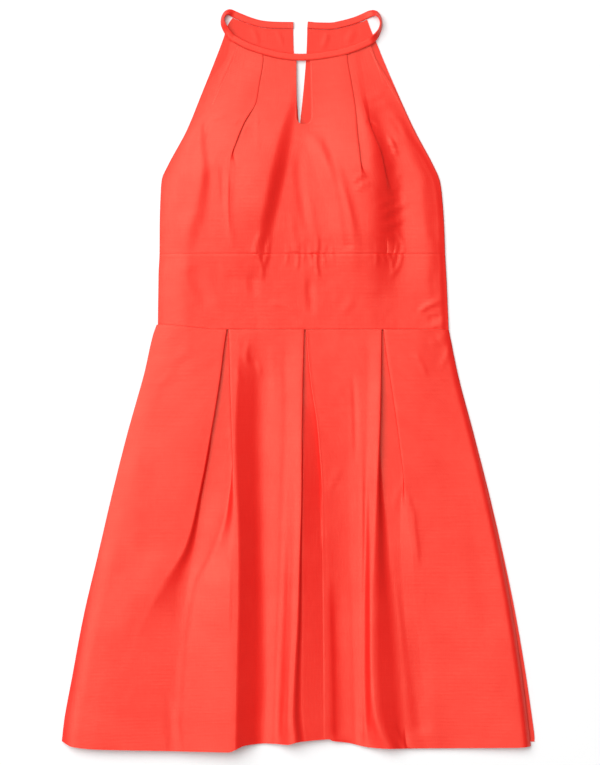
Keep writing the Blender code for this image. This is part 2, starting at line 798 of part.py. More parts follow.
def make_neckband():
    """One strip, flat beside both necklines and turned on edge round each shoulder loop."""
    stations = along_edge(LEFT_BACK_NECKLINE, 0.0, 7)[::-1]
    stations += LEFT_LOOP
    stations += along_edge(FRONT_NECKLINE, FRONT_BAND_LIFT, 18)
    stations += RIGHT_LOOP
    stations += along_edge(RIGHT_BACK_NECKLINE, 0.0, 7)[::-1]
    count = 2 * (len(stations) - 1)
    grid = []
    for i in range(count + 1):
        share = i / count
        here = curve_through(stations, share)
        before = curve_through(stations, max(0.0, share - 0.002))
        after = curve_through(stations, min(1.0, share + 0.002))
        run = Vector((after.x - before.x, after.up - before.up)).normalized()
        inward = Vector((-run.y, run.x))
        roll = math.radians(max(0.0, here.roll))
        middle = max(0.0, here.lift) + BAND_WIDTH / 2 * math.sin(roll) + BAND_THICK / 2 * math.cos(roll)
        row = []
        for step in (1, 0, -1):
            out = step * BAND_WIDTH / 2
            row.append(place(
                here.x + inward.x * out * math.cos(roll),
                here.up + inward.y * out * math.cos(roll),
                middle + out * math.sin(roll),
            ))
        grid.append(row)
    return panel("neckband", grid, wall=BAND_THICK, roughness=0.5)


# ---------------------------------------------------------------- the dress

for leftover in list(bpy.data.objects):
    bpy.data.objects.remove(leftover)

dress = bpy.data.collections.new("halter_dress")
cutters = bpy.data.collections.new("cutters")
bpy.context.scene.collection.children.link(dress)
bpy.context.scene.collection.children.link(cutters)

dress_origin = bpy.data.objects.new("dress_origin", None)
dress.objects.link(dress_origin)

make_front_skirt()
make_front_midriff()
make_front_bodice()
make_neckband()
make_back_bodice("back_bodice_left", -1, LEFT_BACK_NECKLINE)
make_back_bodice("back_bodice_right", 1, RIGHT_BACK_NECKLINE)
make_back_skirt("back_skirt_left", -1)
make_back_skirt("back_skirt_right", 1)
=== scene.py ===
"""Halter dress in plain coral taffeta, laid out flat with its front up.

Sizes are in millimetres in the tables and turned to metres as points are placed.
"Across" is from the middle of the dress. "At" is the distance from the waist seam, upward on the
bodice and downward on the skirt, and "up" is always upward.
"""
import bisect
import math
from collections import namedtuple

import bmesh
import bpy
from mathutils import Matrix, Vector, noise
from mathutils.bvhtree import BVHTree


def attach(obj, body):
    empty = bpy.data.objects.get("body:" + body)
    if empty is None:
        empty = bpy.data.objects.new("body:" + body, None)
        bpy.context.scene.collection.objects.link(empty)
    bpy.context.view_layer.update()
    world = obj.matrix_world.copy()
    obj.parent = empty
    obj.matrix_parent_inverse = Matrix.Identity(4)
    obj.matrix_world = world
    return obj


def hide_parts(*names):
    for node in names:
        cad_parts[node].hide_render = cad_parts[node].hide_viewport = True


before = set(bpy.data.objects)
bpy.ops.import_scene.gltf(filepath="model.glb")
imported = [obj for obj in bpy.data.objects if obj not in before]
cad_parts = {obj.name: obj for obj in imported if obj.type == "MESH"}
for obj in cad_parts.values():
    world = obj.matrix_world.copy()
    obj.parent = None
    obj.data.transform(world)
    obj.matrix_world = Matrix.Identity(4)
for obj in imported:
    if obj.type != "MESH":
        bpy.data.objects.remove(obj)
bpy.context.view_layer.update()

# ------ the maker's measurements
MM = 0.001
MM_PER_PIXEL = 1.24       # in the photograph
PHOTO_ROWS = 765
CLOTH = 0.6               # wall that shows at an edge: taffeta with its lining
BACK_Z = 0.35             # middle of the back's wall as it rests on the surface
FRONT_Z = 1.95            # middle of the front's wall where it lies on the back
FRONT_LEAST = 1.7         # the front's wall never sinks lower
WAIST_Y = 62.2            # the waist seam, from the middle of the model
SHIFT_X = 0.6             # from the middle of the dress to the middle of the model
CENTRE_X = 0.8            # the centre-back seam
SKIRT_TOP = 0.15          # where the skirt's cloth starts below the seam
SKIRT_LENGTH = 520.0
UNDERBUST = 93.6          # the seam below the bust
SEAM = 0.16               # gap between two panels at their seam
BAND_WIDTH = 8.5
BAND_THICK = 2.0
BAND_WALL = 0.4
KEYHOLE_WIDTH = 17.5
KEYHOLE_X = 6.4           # its middle
KEYHOLE_FOOT = 254.0
SLIT_FOOT = 261.0
SLIT_TOP = 372.0
SLIT_LEFT = 7.6           # how far each half stands off the seam at the top of the slit
SLIT_RIGHT = 9.6
HEM_ALLOWANCE = 26.0
HEM_STEP = 0.12           # how much the doubled cloth of the hem stands up
HEM_TURN = 2.5            # and within what length

# Rows of points lie closer together beside a seam, at these distances from it.
SEAM_ROWS = (0, 0.8, 1.6, 2.6)

# Waves that stay in crisp cloth after wear: how long and how high.
SKIRT_CRUMPLE = ((34, 0.26), (11, 0.11))
MIDRIFF_CRUMPLE = ((30, 0.25), (11, 0.13))
BODICE_CRUMPLE = ((30, 0.3), (11, 0.16))


def table(kind, *rows):
    """Rows of measurements with the names of their columns."""
    return tuple(kind(*row) for row in rows)


# ------ outlines
Outline = namedtuple("Outline", "at left right")

FRONT_SKIRT_OUTLINE = table(
    Outline,
    (0, -176, 185.5),
    (12, -180.5, 187.5),
    (56, -191.8, 196.5),
    (131, -212.9, 216),
    (205, -231.5, 234.5),
    (280, -248.9, 251),
    (354, -266.2, 265),
    (428, -279.9, 276.5),
    (491, -290.5, 284.5),
    (520, -293.5, 287.5),
)
BACK_SKIRT_OUTLINE = table(
    Outline,
    (0, -175, 186),
    (12, -179.5, 188.5),
    (56, -190.8, 197.6),
    (131, -212, 217.4),
    (205, -230.6, 236.2),
    (280, -248, 253.4),
    (354, -265.2, 268.4),
    (428, -279, 280.8),
    (491, -289.6, 289.6),
    (512, -292.2, 292.3),
)
FRONT_BODICE_OUTLINE = table(
    Outline,
    (0, -174.6, 185.5),
    (69, -173.6, 182.2),
    (94, -172.2, 180.8),
    (128, -171.8, 179.6),
    (173, -170.4, 176),
    (186, -169, 173.2),
    (203, -161.6, 165.8),
    (247, -138.2, 142.2),
    (290, -120.6, 122),
    (309, -110.5, 111.5),
    (324, -98.5, 102),
    (335, -90.5, 95.4),
    (358, -84, 87.6),
)
BACK_BODICE_OUTLINE = table(
    Outline,
    (0, -174.6, 186),
    (69, -173.8, 183),
    (94, -172.6, 181.6),
    (128, -172.4, 180.4),
    (173, -171, 177),
    (186, -169.8, 174.6),
    (203, -162.4, 167.2),
    (247, -138.8, 143.8),
    (290, -121.2, 124),
    (339, -101.6, 103),
    (358, -94.4, 95.4),
    (369, -90.6, 90.4),
    (378, -87.6, 87),
    (388, -80.8, 83.2),
)

Across = namedtuple("Across", "across height")

FRONT_NECKLINE = table(
    Across,
    (-84, 357.7),
    (-74, 351.9),
    (-63, 346.6),
    (-42, 339.8),
    (-20, 334.8),
    (2, 332.9),
    (20, 333.9),
    (39, 336.5),
    (58, 340.4),
    (77, 347),
    (88, 351.8),
)
LEFT_BACK_NECKLINE = table(
    Across,
    (-81.5, 386.6),
    (-69, 381.4),
    (-54, 376.2),
    (-42, 373.8),
    (-24, 372.8),
    (-6.8, 372.6),
)
RIGHT_BACK_NECKLINE = table(
    Across,
    (10.5, 373.2),
    (26, 372),
    (39, 371.9),
    (58, 375.4),
    (77, 381.2),
    (83.5, 384.2),
)

Hem = namedtuple("Hem", "across below")

FRONT_HEM = table(
    Hem,
    (-294, 510),
    (-280, 517),
    (-250, 520),
    (-150, 522),
    (-88, 523),
    (-66, 515),
    (-40, 513),
    (-14, 514),
    (-2, 511),
    (30, 508),
    (38, 507.5),
    (41, 509.5),
    (60, 512),
    (90, 518),
    (120, 519),
    (270, 518),
    (292, 516),
)
BACK_HEM = table(
    Hem,
    (-294, 508),
    (-260, 509),
    (-80, 505),
    (0, 502),
    (80, 504),
    (260, 510),
    (294, 511),
)

# How the side seams roll: the front climbs to "rise" within "width" of the seam.
Side = namedtuple("Side", "at left_width left_rise right_width right_rise")

SKIRT_SIDES = table(
    Side,
    (0, 36, 3.9, 9, 2),
    (40, 28, 3.4, 9, 2.4),
    (120, 26, 3.4, 8, 3.2),
    (260, 24, 4.8, 8, 4.6),
    (400, 22, 7.6, 9, 6.4),
    (520, 20, 8.2, 10, 7.6),
)

# ------ folds
# The cloth turns down over "edge" from the height "top", and turns level again at "foot". "under"
# is how far it runs back beneath the edge: below zero the fold stands open and slopes away from it.
Fold = namedtuple("Fold", "at edge top foot under")

LEFT_PLEAT_OUTER = table(
    Fold,
    (0, -89.2, 5.9, 2.1, 28),
    (22, -92.4, 6.8, 2.1, 26),
    (59, -97, 8.4, 2.4, 12),
    (87, -101.2, 9.2, 3, 7),
    (108, -104.6, 9.6, 3.4, 4),
    (149, -111.2, 9.8, 3.8, 1),
    (203, -121.8, 9.6, 4, 0),
    (245, -131.5, 9.4, 4.2, -4),
    (272, -141, 9.2, 4.4, -9),
    (290, -152, 9.8, 5, -16),
    (311, -167, 11, 6.4, -27),
    (332, -179, 11.8, 7.6, -36),
    (353, -189, 11.8, 8.8, -42),
    (400, -207, 11.6, 10.6, -56),
    (520, -227, 11.6, 11.4, -66),
)
LEFT_PLEAT_INNER = table(
    Fold,
    (0, -87, 5.9, 2.1, 28),
    (22, -86.4, 7.6, 2.1, 24),
    (71, -85.2, 11, 2.8, 13),
    (133, -83, 13.4, 3.8, 5),
    (195, -80.2, 14.8, 5.2, -5),
    (236, -77.6, 15.4, 6.6, -16),
    (280, -76.8, 15.8, 7, -34),
    (319, -76.9, 16.6, 8, -52),
    (401, -78.6, 17.4, 11, -62),
    (520, -81, 17.8, 12.4, -66),
)
MIDDLE_PLEAT_LEFT = table(
    Fold,
    (0, 6.8, 5.9, 2.1, 28),
    (22, 6.2, 7, 2.8, 24),
    (71, 5, 9.2, 5, 9),
    (112, 4.4, 10.6, 7.2, 3),
    (160, 4.2, 11.8, 8.6, 0),
    (211, 3.8, 13.2, 10.2, 0),
    (277, 2, 14.6, 11, -1),
    (360, -0.2, 15.6, 11, -3),
    (435, -4.2, 16, 11, -6),
    (484, -6, 15.8, 10.4, -8),
    (520, -3.2, 15.2, 9.8, -9),
)
MIDDLE_PLEAT_RIGHT = table(
    Fold,
    (0, 9, 5.9, 2.1, 28),
    (22, 10.2, 6.1, 2.1, 26),
    (71, 15, 7, 2.2, 18),
    (112, 21.5, 7.2, 2.4, 10),
    (160, 26, 7, 2.9, 4),
    (205, 28.5, 6.6, 3.8, 1),
    (250, 29.5, 5.8, 5.1, -1),
    (290, 29.5, 5.8, 5.78, 0),
    (330, 29.8, 6, 5.98, 0),
    (400, 30.4, 6.8, 6.78, 0),
    (520, 31, 7.4, 7.38, 0),
)
RIGHT_PLEAT_LEFT = table(
    Fold,
    (0, 102.8, 5.9, 2.1, 28),
    (22, 102.6, 7.2, 2.1, 24),
    (71, 102.2, 9.4, 2.1, 11),
    (112, 101.4, 10.8, 2.3, 5),
    (187, 99.8, 11.8, 2.9, 0),
    (240, 97.6, 12, 3.5, -8),
    (290, 95.6, 12.6, 4.2, -15),
    (340, 94.2, 13.4, 4.8, -23),
    (400, 94.4, 14.2, 5.2, -28),
    (455, 96.4, 14.8, 5.4, -30),
    (480, 99.5, 14.8, 5.4, -29),
    (505, 108, 13.8, 5.4, -22),
    (520, 115, 12.6, 5.4, -16),
)
RIGHT_PLEAT_RIGHT = table(
    Fold,
    (0, 105, 5.9, 2.1, 28),
    (25, 107.8, 6.2, 2.1, 25),
    (91, 117.8, 6.4, 2.2, 15),
    (162, 127.4, 6.2, 2.5, 5),
    (190, 130.4, 5.8, 2.9, -1),
    (225, 134, 5.2, 3.3, -8),
    (270, 140, 4.8, 3.7, -14),
    (360, 148, 4.6, 4.2, -16),
    (455, 158, 4.8, 4.6, -14),
    (520, 170, 4.9, 4.6, -12),
)

# Between two pleats the cloth stays nearly level for "brink", falls to its lowest place, then
# climbs slowly to a last low crest before the next edge.
Trough = namedtuple("Trough", "at brink low_x low crest_x crest")

LEFT_TROUGH = table(
    Trough,
    (0, 9, -45, 5.9, -20, 5.9),
    (22, 9, -45, 5.5, -20, 6),
    (50, 8, -45, 4.6, -19, 6.2),
    (90, 5, -45, 3.7, -18, 6.8),
    (133, 2.5, -45, 3.6, -19, 6.8),
    (195, 1.2, -44, 3.8, -21, 6.4),
    (277, 0.6, -43, 3, -23, 5.6),
    (360, 0.6, -41, 2.6, -26, 4.8),
    (440, 0.6, -41, 2.6, -29, 4.4),
    (520, 0.6, -44, 2.6, -31, 4.6),
)
RIGHT_TROUGH = table(
    Trough,
    (0, 2, 58, 5.9, 84, 5.9),
    (22, 2, 58, 6, 84, 6.2),
    (71, 2, 58, 6.2, 84, 7),
    (133, 2, 60, 6.2, 83, 7.6),
    (195, 2, 60, 5.2, 82, 7),
    (250, 3, 60, 4, 80.5, 5.8),
    (300, 5, 63, 3.1, 79.5, 4.6),
    (350, 7.5, 65, 2.7, 79, 4),
    (420, 9, 67, 2.6, 79, 4),
    (520, 10.5, 70, 2.6, 80, 4.4),
)

LEFT_TUCK = table(
    Fold,
    (150, -87, 0.1, 0, -10),
    (190, -86.6, 0.2, 0, -10),
    (204, -85.8, 0.6, 0, -8),
    (214, -84, 1.3, 0, -3),
    (228, -78.4, 2.2, 0, 1),
    (240, -73.6, 2.4, 0, 2),
    (254, -67.4, 2.2, 0, 2),
    (264, -61.4, 1.9, 0, 2),
    (272, -56.2, 1, 0, 1),
    (280, -52.6, 0.5, 0, 1),
    (296, -50.2, 0.6, 0, 2),
    (312, -48.2, 0.8, 0, 3),
    (340, -45.4, 1.1, 0, 5),
)
RIGHT_TUCK = table(
    Fold,
    (150, 77, 0.1, 0, -10),
    (176, 77.2, 0.3, 0, -10),
    (190, 77.4, 0.9, 0, -6),
    (202, 77.2, 1.7, 0, -1),
    (214, 76.2, 2, 0, 1),
    (240, 73.4, 1.8, 0, 2),
    (270, 71, 1.3, 0, 3),
    (302, 66.6, 1, 0, 4),
    (340, 61, 1.1, 0, 6),
)
OUTER_TUCK = table(
    Fold,
    (130, 109, 0.1, 0, -10),
    (160, 109, 0.4, 0, -10),
    (174, 108.8, 1.2, 0, -6),
    (188, 107.8, 2, 0, -2),
    (204, 105.4, 2.2, 0, 1),
    (220, 101.8, 2.1, 0, 2),
    (238, 94.4, 1.8, 0, 1),
    (252, 88.6, 1.4, 0, -1),
    (266, 84, 1, 0, -4),
    (280, 80, 0.6, 0, -6),
    (294, 77, 0.3, 0, -7),
    (340, 74, 0.1, 0, -7),
)

# How the bodice rounds up from its side seams: height and reach on the left, then on the right.
Crown = namedtuple("Crown", "at rise edge right_rise right_edge")

BODICE_CROWN = table(
    Crown,
    (0, 3.95, 36, 2.2, 9),
    (50, 5, 36, 2.2, 8),
    (94, 6.6, 38, 2, 7),
    (150, 8, 44, 1.8, 6),
    (200, 8, 56, 1.8, 8),
    (250, 5.4, 60, 2, 16),
    (300, 2.4, 60, 1.6, 32),
    (345, 0.8, 60, 0.8, 50),
)

# A soft ridge of the bodice: how far its gentle left slope and its steeper right slope reach.
Ridge = namedtuple("Ridge", "at across height gentle steep")

LEFT_BUST_RIDGE = table(
    Ridge,
    (62, -50, 0, 70, 14),
    (94, -50, 2.4, 78, 15),
    (125, -48.5, 4.8, 88, 18),
    (160, -43, 6.6, 94, 21),
    (200, -35, 6.4, 94, 22),
    (235, -27, 4.4, 84, 20),
    (262, -18.5, 2.2, 66, 15),
    (285, -11, 0.8, 50, 12),
    (310, -7, 0, 40, 10),
)
RIGHT_BUST_RIDGE = table(
    Ridge,
    (40, 94, 0, 60, 28),
    (70, 94, 1.8, 66, 32),
    (94, 94, 3.6, 72, 34),
    (125, 95, 6, 88, 36),
    (173, 91, 6.8, 92, 36),
    (222, 85, 4.8, 86, 32),
    (256, 78, 2.2, 66, 26),
    (290, 70, 0, 50, 24),
)
SIDE_RIDGE = table(
    Ridge,
    (92, -150, 0, 26, 18),
    (118, -140, 1, 28, 19),
    (146, -128, 1.8, 32, 17),
    (198, -121.5, 2.5, 34, 13),
    (238, -123.5, 2, 20, 10),
    (262, -124.5, 0, 14, 9),
)
CENTRE_RIDGE = table(
    Ridge,
    (70, 68, 0, 24, 18),
    (100, 65, 1.4, 24, 18),
    (140, 58, 2.2, 24, 19),
    (185, 45, 2.4, 22, 18),
    (228, 24, 1.4, 16, 15),
    (246, 14, 0, 14, 12),
)
RIGHT_SIDE_RIDGE = table(
    Ridge,
    (10, 172, 0, 44, 10),
    (60, 168, 1.6, 46, 12),
    (130, 164, 2.6, 44, 13),
    (180, 158, 2.6, 42, 15),
    (230, 136, 1.8, 36, 15),
    (270, 118, 0, 26, 12),
)
BODICE_RIDGES = (LEFT_BUST_RIDGE, RIGHT_BUST_RIDGE, SIDE_RIDGE, CENTRE_RIDGE, RIGHT_SIDE_RIDGE)

# ------ creases, listed one by one
# Each runs from (x0, at0) to (x1, at1), bowed sideways by "bow". "height" is above the cloth
# round it, or below it if negative. "left" and "right" are how far its two slopes reach.
# "ends" says where it keeps its full height: at its start, its end, or neither.
Crease = namedtuple("Crease", "x0 at0 x1 at1 bow height left right ends", defaults=("",))


def gathers(seam, *rows):
    """Short creases that start at the seam below the bust: their x0, then x1 and the rest."""
    return tuple(Crease(x0, seam, *rest, "start") for x0, *rest in rows)


SKIRT_CREASES = table(
    Crease,
    # the soft fold that runs on down and outward from the first pleat
    (-172, 330, -236, 420, -4, -0.4, 26, 34),
    # beside the first ridge
    (-84.5, 250, -86.5, 400, 0, 0.5, 3, 3),
    (-88, 60, -80, 240, 1, 0.4, 1.6, 2),
    # two thin ridges left of the middle pleat
    (-13, 236, -20.5, 510, 2, 0.6, 4, 3, "end"),
    (-5.5, 257, -13, 505, -1, 0.5, 3, 2.5, "end"),
    # two thin ridges left of the last pleat
    (79, 130, 79.5, 508, 0, 0.8, 4.5, 3, "end"),
    (87, 140, 88.5, 508, 0, 0.8, 3.5, 3, "end"),
    # soft streak between the middle and the last pleat
    (66, 45, 70, 175, 2, -0.7, 5, 6),
    (34, 206, 56, 166, 0, 0.3, 4, 6),
    (38, 190, 48, 170, 0, 0.25, 3, 4),
    (43, 300, 47.5, 512, 1, -1.5, 9, 20, "end"),
    # the thin fold that carries on from the last pleat, and its branches
    (131, 186, 117, 226, -2, 0.5, 4, 5),
    (130, 190, 148, 305, 4, 0.7, 10, 6),
    (141, 28, 159, 60, 2, 0.6, 4, 5),
    (142, 215, 146, 245, 0, 0.3, 4, 5),
    # wrinkles from the side seams at the waist
    (-172, 46, -132, 22, 4, 0.6, 7, 7),
    (-178, 70, -150, 40, 3, 0.5, 6, 8),
    (185, 5, 158, 17, 2, 1, 3, 5),
    (188, 20, 172, 48, 2, 0.8, 3, 4),
    # mottled wrinkles below the waist beside the first pleat
    (-76, 26, -60, 44, 3, 0.5, 5, 6),
    (-66, 34, -50, 50, 3, -0.5, 5, 5),
    (-60, 12, -64, 45, -3, 0.4, 5, 6),
    (-56, 40, -46, 58, 2, 0.5, 4, 5),
    (-78, 48, -68, 66, -2, 0.4, 4, 5),
    (-34, 15, -30, 110, 0, 0.25, 7, 8),
    (-18, 20, -16, 120, 0, -0.25, 7, 8),
    # soft waves in the wide side panels
    (140, 340, 150, 500, 4, -0.8, 16, 20, "end"),
    (205, 200, 238, 420, 6, -0.7, 24, 26),
    (-200, 130, -214, 300, 4, 0.6, 22, 26),
    # creases at the hem
    (-166, 440, -150, 522, 0, -0.7, 14, 9, "end"),
    (-156, 470, -146, 522, 2, 0.3, 8, 6, "end"),
    (131, 496, 134, 522, 0, -0.8, 2.5, 3.5, "end"),
    (112, 470, 134, 520, -3, 1, 9, 3, "end"),
)

BODICE_CREASES = table(
    Crease,
    # where the first tuck lets go
    (-87.5, 204, -82.5, 100, -3, 0.9, 4, 5, "end"),
    (-51.5, 274, -53.5, 206, 1, 0.35, 1.8, 2.4),
    (-96, 206, -94, 150, 1, -0.7, 5, 6),
    (-62, 256, -72, 240, 0, 0.5, 2, 3),
    # the small tick and the folds at the left armhole
    (-119.5, 255, -118, 243, 1, -0.9, 1.6, 2.6),
    (-116, 252, -112, 236, 2, -0.5, 2, 3),
    (-153, 140, -122, 205, -4, 0.5, 12, 16),
    (-165, 108, -140, 170, 4, -0.5, 12, 14),
    (-100, 252, -70, 262, 3, 0.4, 3, 4),
    (-112, 258, -86, 268, 0, 0.35, 4, 5),
    # streaks that fall from the keyhole
    (0, 232, 14, 112, -4, -0.8, 10, 11),
    (-10, 150, -4, 96, 0, 0.4, 6, 7, "end"),
    (3, 190, 22, 96, 3, 0.4, 9, 8, "end"),
    (28, 248, 62, 100, 5, -0.9, 9, 8, "end"),
    (48, 190, 70, 108, 3, 0.5, 6, 6),
    # fine wrinkles round the ends of the two right tucks
    (64, 180, 90, 196, -2, 1.1, 2.5, 3.5),
    (68, 170, 94, 184, -2, 0.9, 2.5, 3.5),
    (60, 196, 74, 184, 2, 0.5, 2.5, 3),
    (84, 214, 100, 222, 2, 0.5, 3, 3),
    (82, 258, 96, 250, 2, -0.6, 3, 4),
    (88, 240, 104, 226, 2, 0.6, 3, 4),
    (110, 240, 120, 216, 2, 1.1, 3, 4),
    (106, 226, 126, 236, 0, 0.9, 2.5, 3.5),
    (110, 214, 128, 224, 0, 0.9, 2.5, 3),
    (98, 138, 140, 158, -2, 1.4, 3, 4.5),
    (94, 150, 128, 164, -2, 0.9, 3, 4),
    (100, 126, 134, 140, 2, 1.2, 3, 4),
    (108, 166, 130, 184, 0, 0.9, 3, 4),
    (114, 180, 128, 196, 1, 0.7, 3, 4),
    (94, 116, 122, 112, 0, 0.9, 3, 4),
    (118, 122, 132, 104, 1, 0.8, 3, 3.5),
    (104, 200, 122, 208, -1, 0.8, 2.5, 3.5),
    (96, 176, 108, 160, 1, -0.6, 3, 3),
    # drag lines from the right armhole
    (82, 287, 110, 300, 3, 0.45, 4, 6),
    (86, 276, 116, 286, 3, 0.4, 5, 7),
    (128, 238, 112, 262, 3, -0.5, 6, 8),
    (160, 190, 168, 110, -3, -0.35, 9, 8, "end"),
    # facing lines inside the armholes
    (-75, 353, -108, 276, -1.5, 0.35, 1, 1.6),
    (89, 350, 108, 300, 1, 0.30, 1.6, 1),
) + gathers(
    94,
    (-54, -44, 122, -3, 1, 3, 4),
    (-45, -36, 114, -2, -0.8, 2.5, 3),
    (-38, -33, 118, -2, 0.8, 2.6, 3.4),
    (-14, -15, 106, 1, 0.5, 2, 2.4),
    (-1, -2, 110, 1, 0.6, 2.2, 2.6),
    (6, 6, 104, 0, 0.5, 1.8, 2.2),
    (14, 13, 106, 1, 0.6, 2, 2.6),
    (22, 21, 120, 2, 0.6, 2.6, 3.4),
    (30, 32, 106, 1, 0.5, 2, 2.4),
    (42, 42, 104, 0, 0.4, 2, 2),
    (96, 94, 112, 2, 0.9, 2.4, 3),
    (104, 103, 108, 1, 0.8, 2, 2.8),
    (111, 110, 114, 1, 0.9, 2.2, 2.8),
    (119, 121, 110, 1, 0.8, 2, 2.6),
    (127, 131, 106, 1, 0.6, 2, 2.6),
)

MIDRIFF_CREASES = gathers(
    93,
    (-54, -46, 74, 3, 0.7, 3, 4),
    (-45, -40, 72, -2, -0.5, 2.5, 3.2),
    (-38, -46, 56, -3, 0.6, 3, 5),
    (-14, -18, 78, 1, 0.5, 2.2, 3),
    (-1, -4, 72, 1, 0.7, 2.4, 3.4),
    (6, 5, 80, 0, 0.5, 2, 2.4),
    (14, 18, 74, 1, 0.8, 2.2, 3),
    (22, 26, 62, -2, 1.1, 3, 3.8),
    (30, 31, 78, 1, 0.5, 2.2, 2.6),
    (42, 44, 80, 0, 0.4, 2, 2.4),
    (96, 95, 78, 1, 0.6, 2.2, 2.8),
    (104, 106, 80, 1, 0.5, 2, 2.6),
    (111, 114, 68, 3, 0.7, 2.6, 3.6),
    (119, 117, 80, 0, 0.6, 2, 2.6),
    (127, 110, 64, 4, 0.8, 3.4, 4.6),
) + table(
    Crease,
    # soft folds across the band
    (-137, 80, -112, 20, 4, -0.9, 15, 15),
    (-156, 84, -148, 30, 0, 0.4, 14, 14),
    (-58, 70, -54, 38, 0, -0.7, 10, 10),
    (12, 68, 17, 14, 0, -0.8, 8, 9),
    (2, 84, 10, 44, 2, 0.3, 8, 8),
    (36, 60, 52, 34, 2, 0.3, 8, 9),
    (70, 40, 46, 18, 3, 0.3, 9, 9),
    (-40, 34, 4, 14, 5, 0.5, 6, 8),
    (146, 20, 180, 36, -3, 1.3, 3.5, 5),
    (158, 13, 180, 18, 1, -0.9, 3, 4),
    (162, 4, 183, 9, 1, 0.9, 2.5, 3.5),
    (166, 84, 172, 24, -2, -0.3, 9, 8),
)

BACK_NECK_CREASES = table(
    Crease,
    (-60, 374, -50, 352, 2, 0.5, 4, 5),
    (-30, 371, -20, 350, 2, 0.4, 3, 5),
    (-46, 362, -34, 344, 0, -0.3, 5, 6),
    (36, 370, 26, 346, 2, 0.5, 5, 5),
    (70, 372, 60, 352, -2, 0.5, 6, 8),
    (86, 366, 64, 350, 2, -0.35, 7, 7),
)

# The neckband's way round the neck: "lift" is above the surface, and "roll" is in degrees.
Station = namedtuple("Station", "x up lift roll")

LEFT_LOOP = table(
    Station,
    (-85.4, 393.2, 0, 28),
    (-90.4, 391.9, 0.1, 56),
    (-93.9, 386.4, 0.4, 66),
    (-93.8, 379.6, 0.9, 54),
    (-91, 373.2, 2, 34),
    (-86.8, 367, 3, 14),
)
RIGHT_LOOP = table(
    Station,
    (92.2, 360, 3, 20),
    (97.4, 365.8, 1.7, 50),
    (100.9, 373, 0.6, 72),
    (102, 380.4, 0.2, 78),
    (100, 387.4, 0.1, 68),
    (95.2, 391.9, 0.1, 44),
    (88.6, 391.4, 0, 14),
)
FRONT_BAND_LIFT = 3.4

# How tightly a fold turns: the radius at its crest and at its foot, the points in each turn, and
# how much rounder it gets as it opens.
Turn = namedtuple("Turn", "crest foot steps softness", defaults=(2.0,))

FIRST_FOLD = Turn(4.0, 7.0, 12, 4.0)
MIDDLE_FOLD = Turn(3.6, 4.0, 10)
LAST_FOLD = Turn(3.6, 6.5, 10)
PRESSED_EDGE = Turn(1.4, 0.9, 6)
MIDDLE_EDGE = Turn(1.6, 0.9, 6)
TUCK = Turn(1.2, 0.6, 6)


# ------ reading the tables


def shared_slope(a, b):
    """Slope where two straight stretches meet, zero at a high or low point."""
    return 0.0 if a * b <= 0 else 2 * a * b / (a + b)


def between(rows, at):
    """Row of a table at a place between two of its rows, on curves that never overshoot."""
    keys = [row[0] for row in rows]
    if at <= keys[0]:
        return rows[0]
    if at >= keys[-1]:
        return rows[-1]
    i = bisect.bisect_right(keys, at) - 1
    span = keys[i + 1] - keys[i]
    t = (at - keys[i]) / span
    values = [at]
    for column in range(1, len(rows[0])):
        steps = []
        for j in range(i - 1, i + 2):
            if 0 <= j < len(rows) - 1:
                steps.append((rows[j + 1][column] - rows[j][column]) / (keys[j + 1] - keys[j]))
            else:
                steps.append(None)
        before, here, after = steps
        start = here if before is None else shared_slope(before, here)
        end = here if after is None else shared_slope(here, after)
        a, b = rows[i][column], rows[i + 1][column]
        values.append(
            a * (1 + 2 * t) * (1 - t) ** 2
            + start * span * t * (1 - t) ** 2
            + b * t * t * (3 - 2 * t)
            + end * span * t * t * (t - 1)
        )
    return type(rows[0])(*values)


def ease(t):
    """0 to 1 with level ends."""
    t = min(1.0, max(0.0, t))
    return t * t * (3 - 2 * t)


def rounded(t):
    """0 to 1, steep at the start and level at the end, as cloth rolls over a seam."""
    t = min(1.0, max(0.0, t))
    return 1 - (1 - t) ** 2.4


def seam_climb(x, up):
    """The waist seam climbs 6 mm toward the left side, and draws the cloth with it."""
    return 6.0 * ease((-100 - x) / 75) * ease(1 - abs(up) / 60)


def place(x, up, z):
    """A point of the dress, in metres: across, above the waist seam, and height."""
    up += seam_climb(x, up)
    return Vector(((x + SHIFT_X) * MM, (WAIST_Y + up) * MM, z * MM))


# ------ folding the cloth


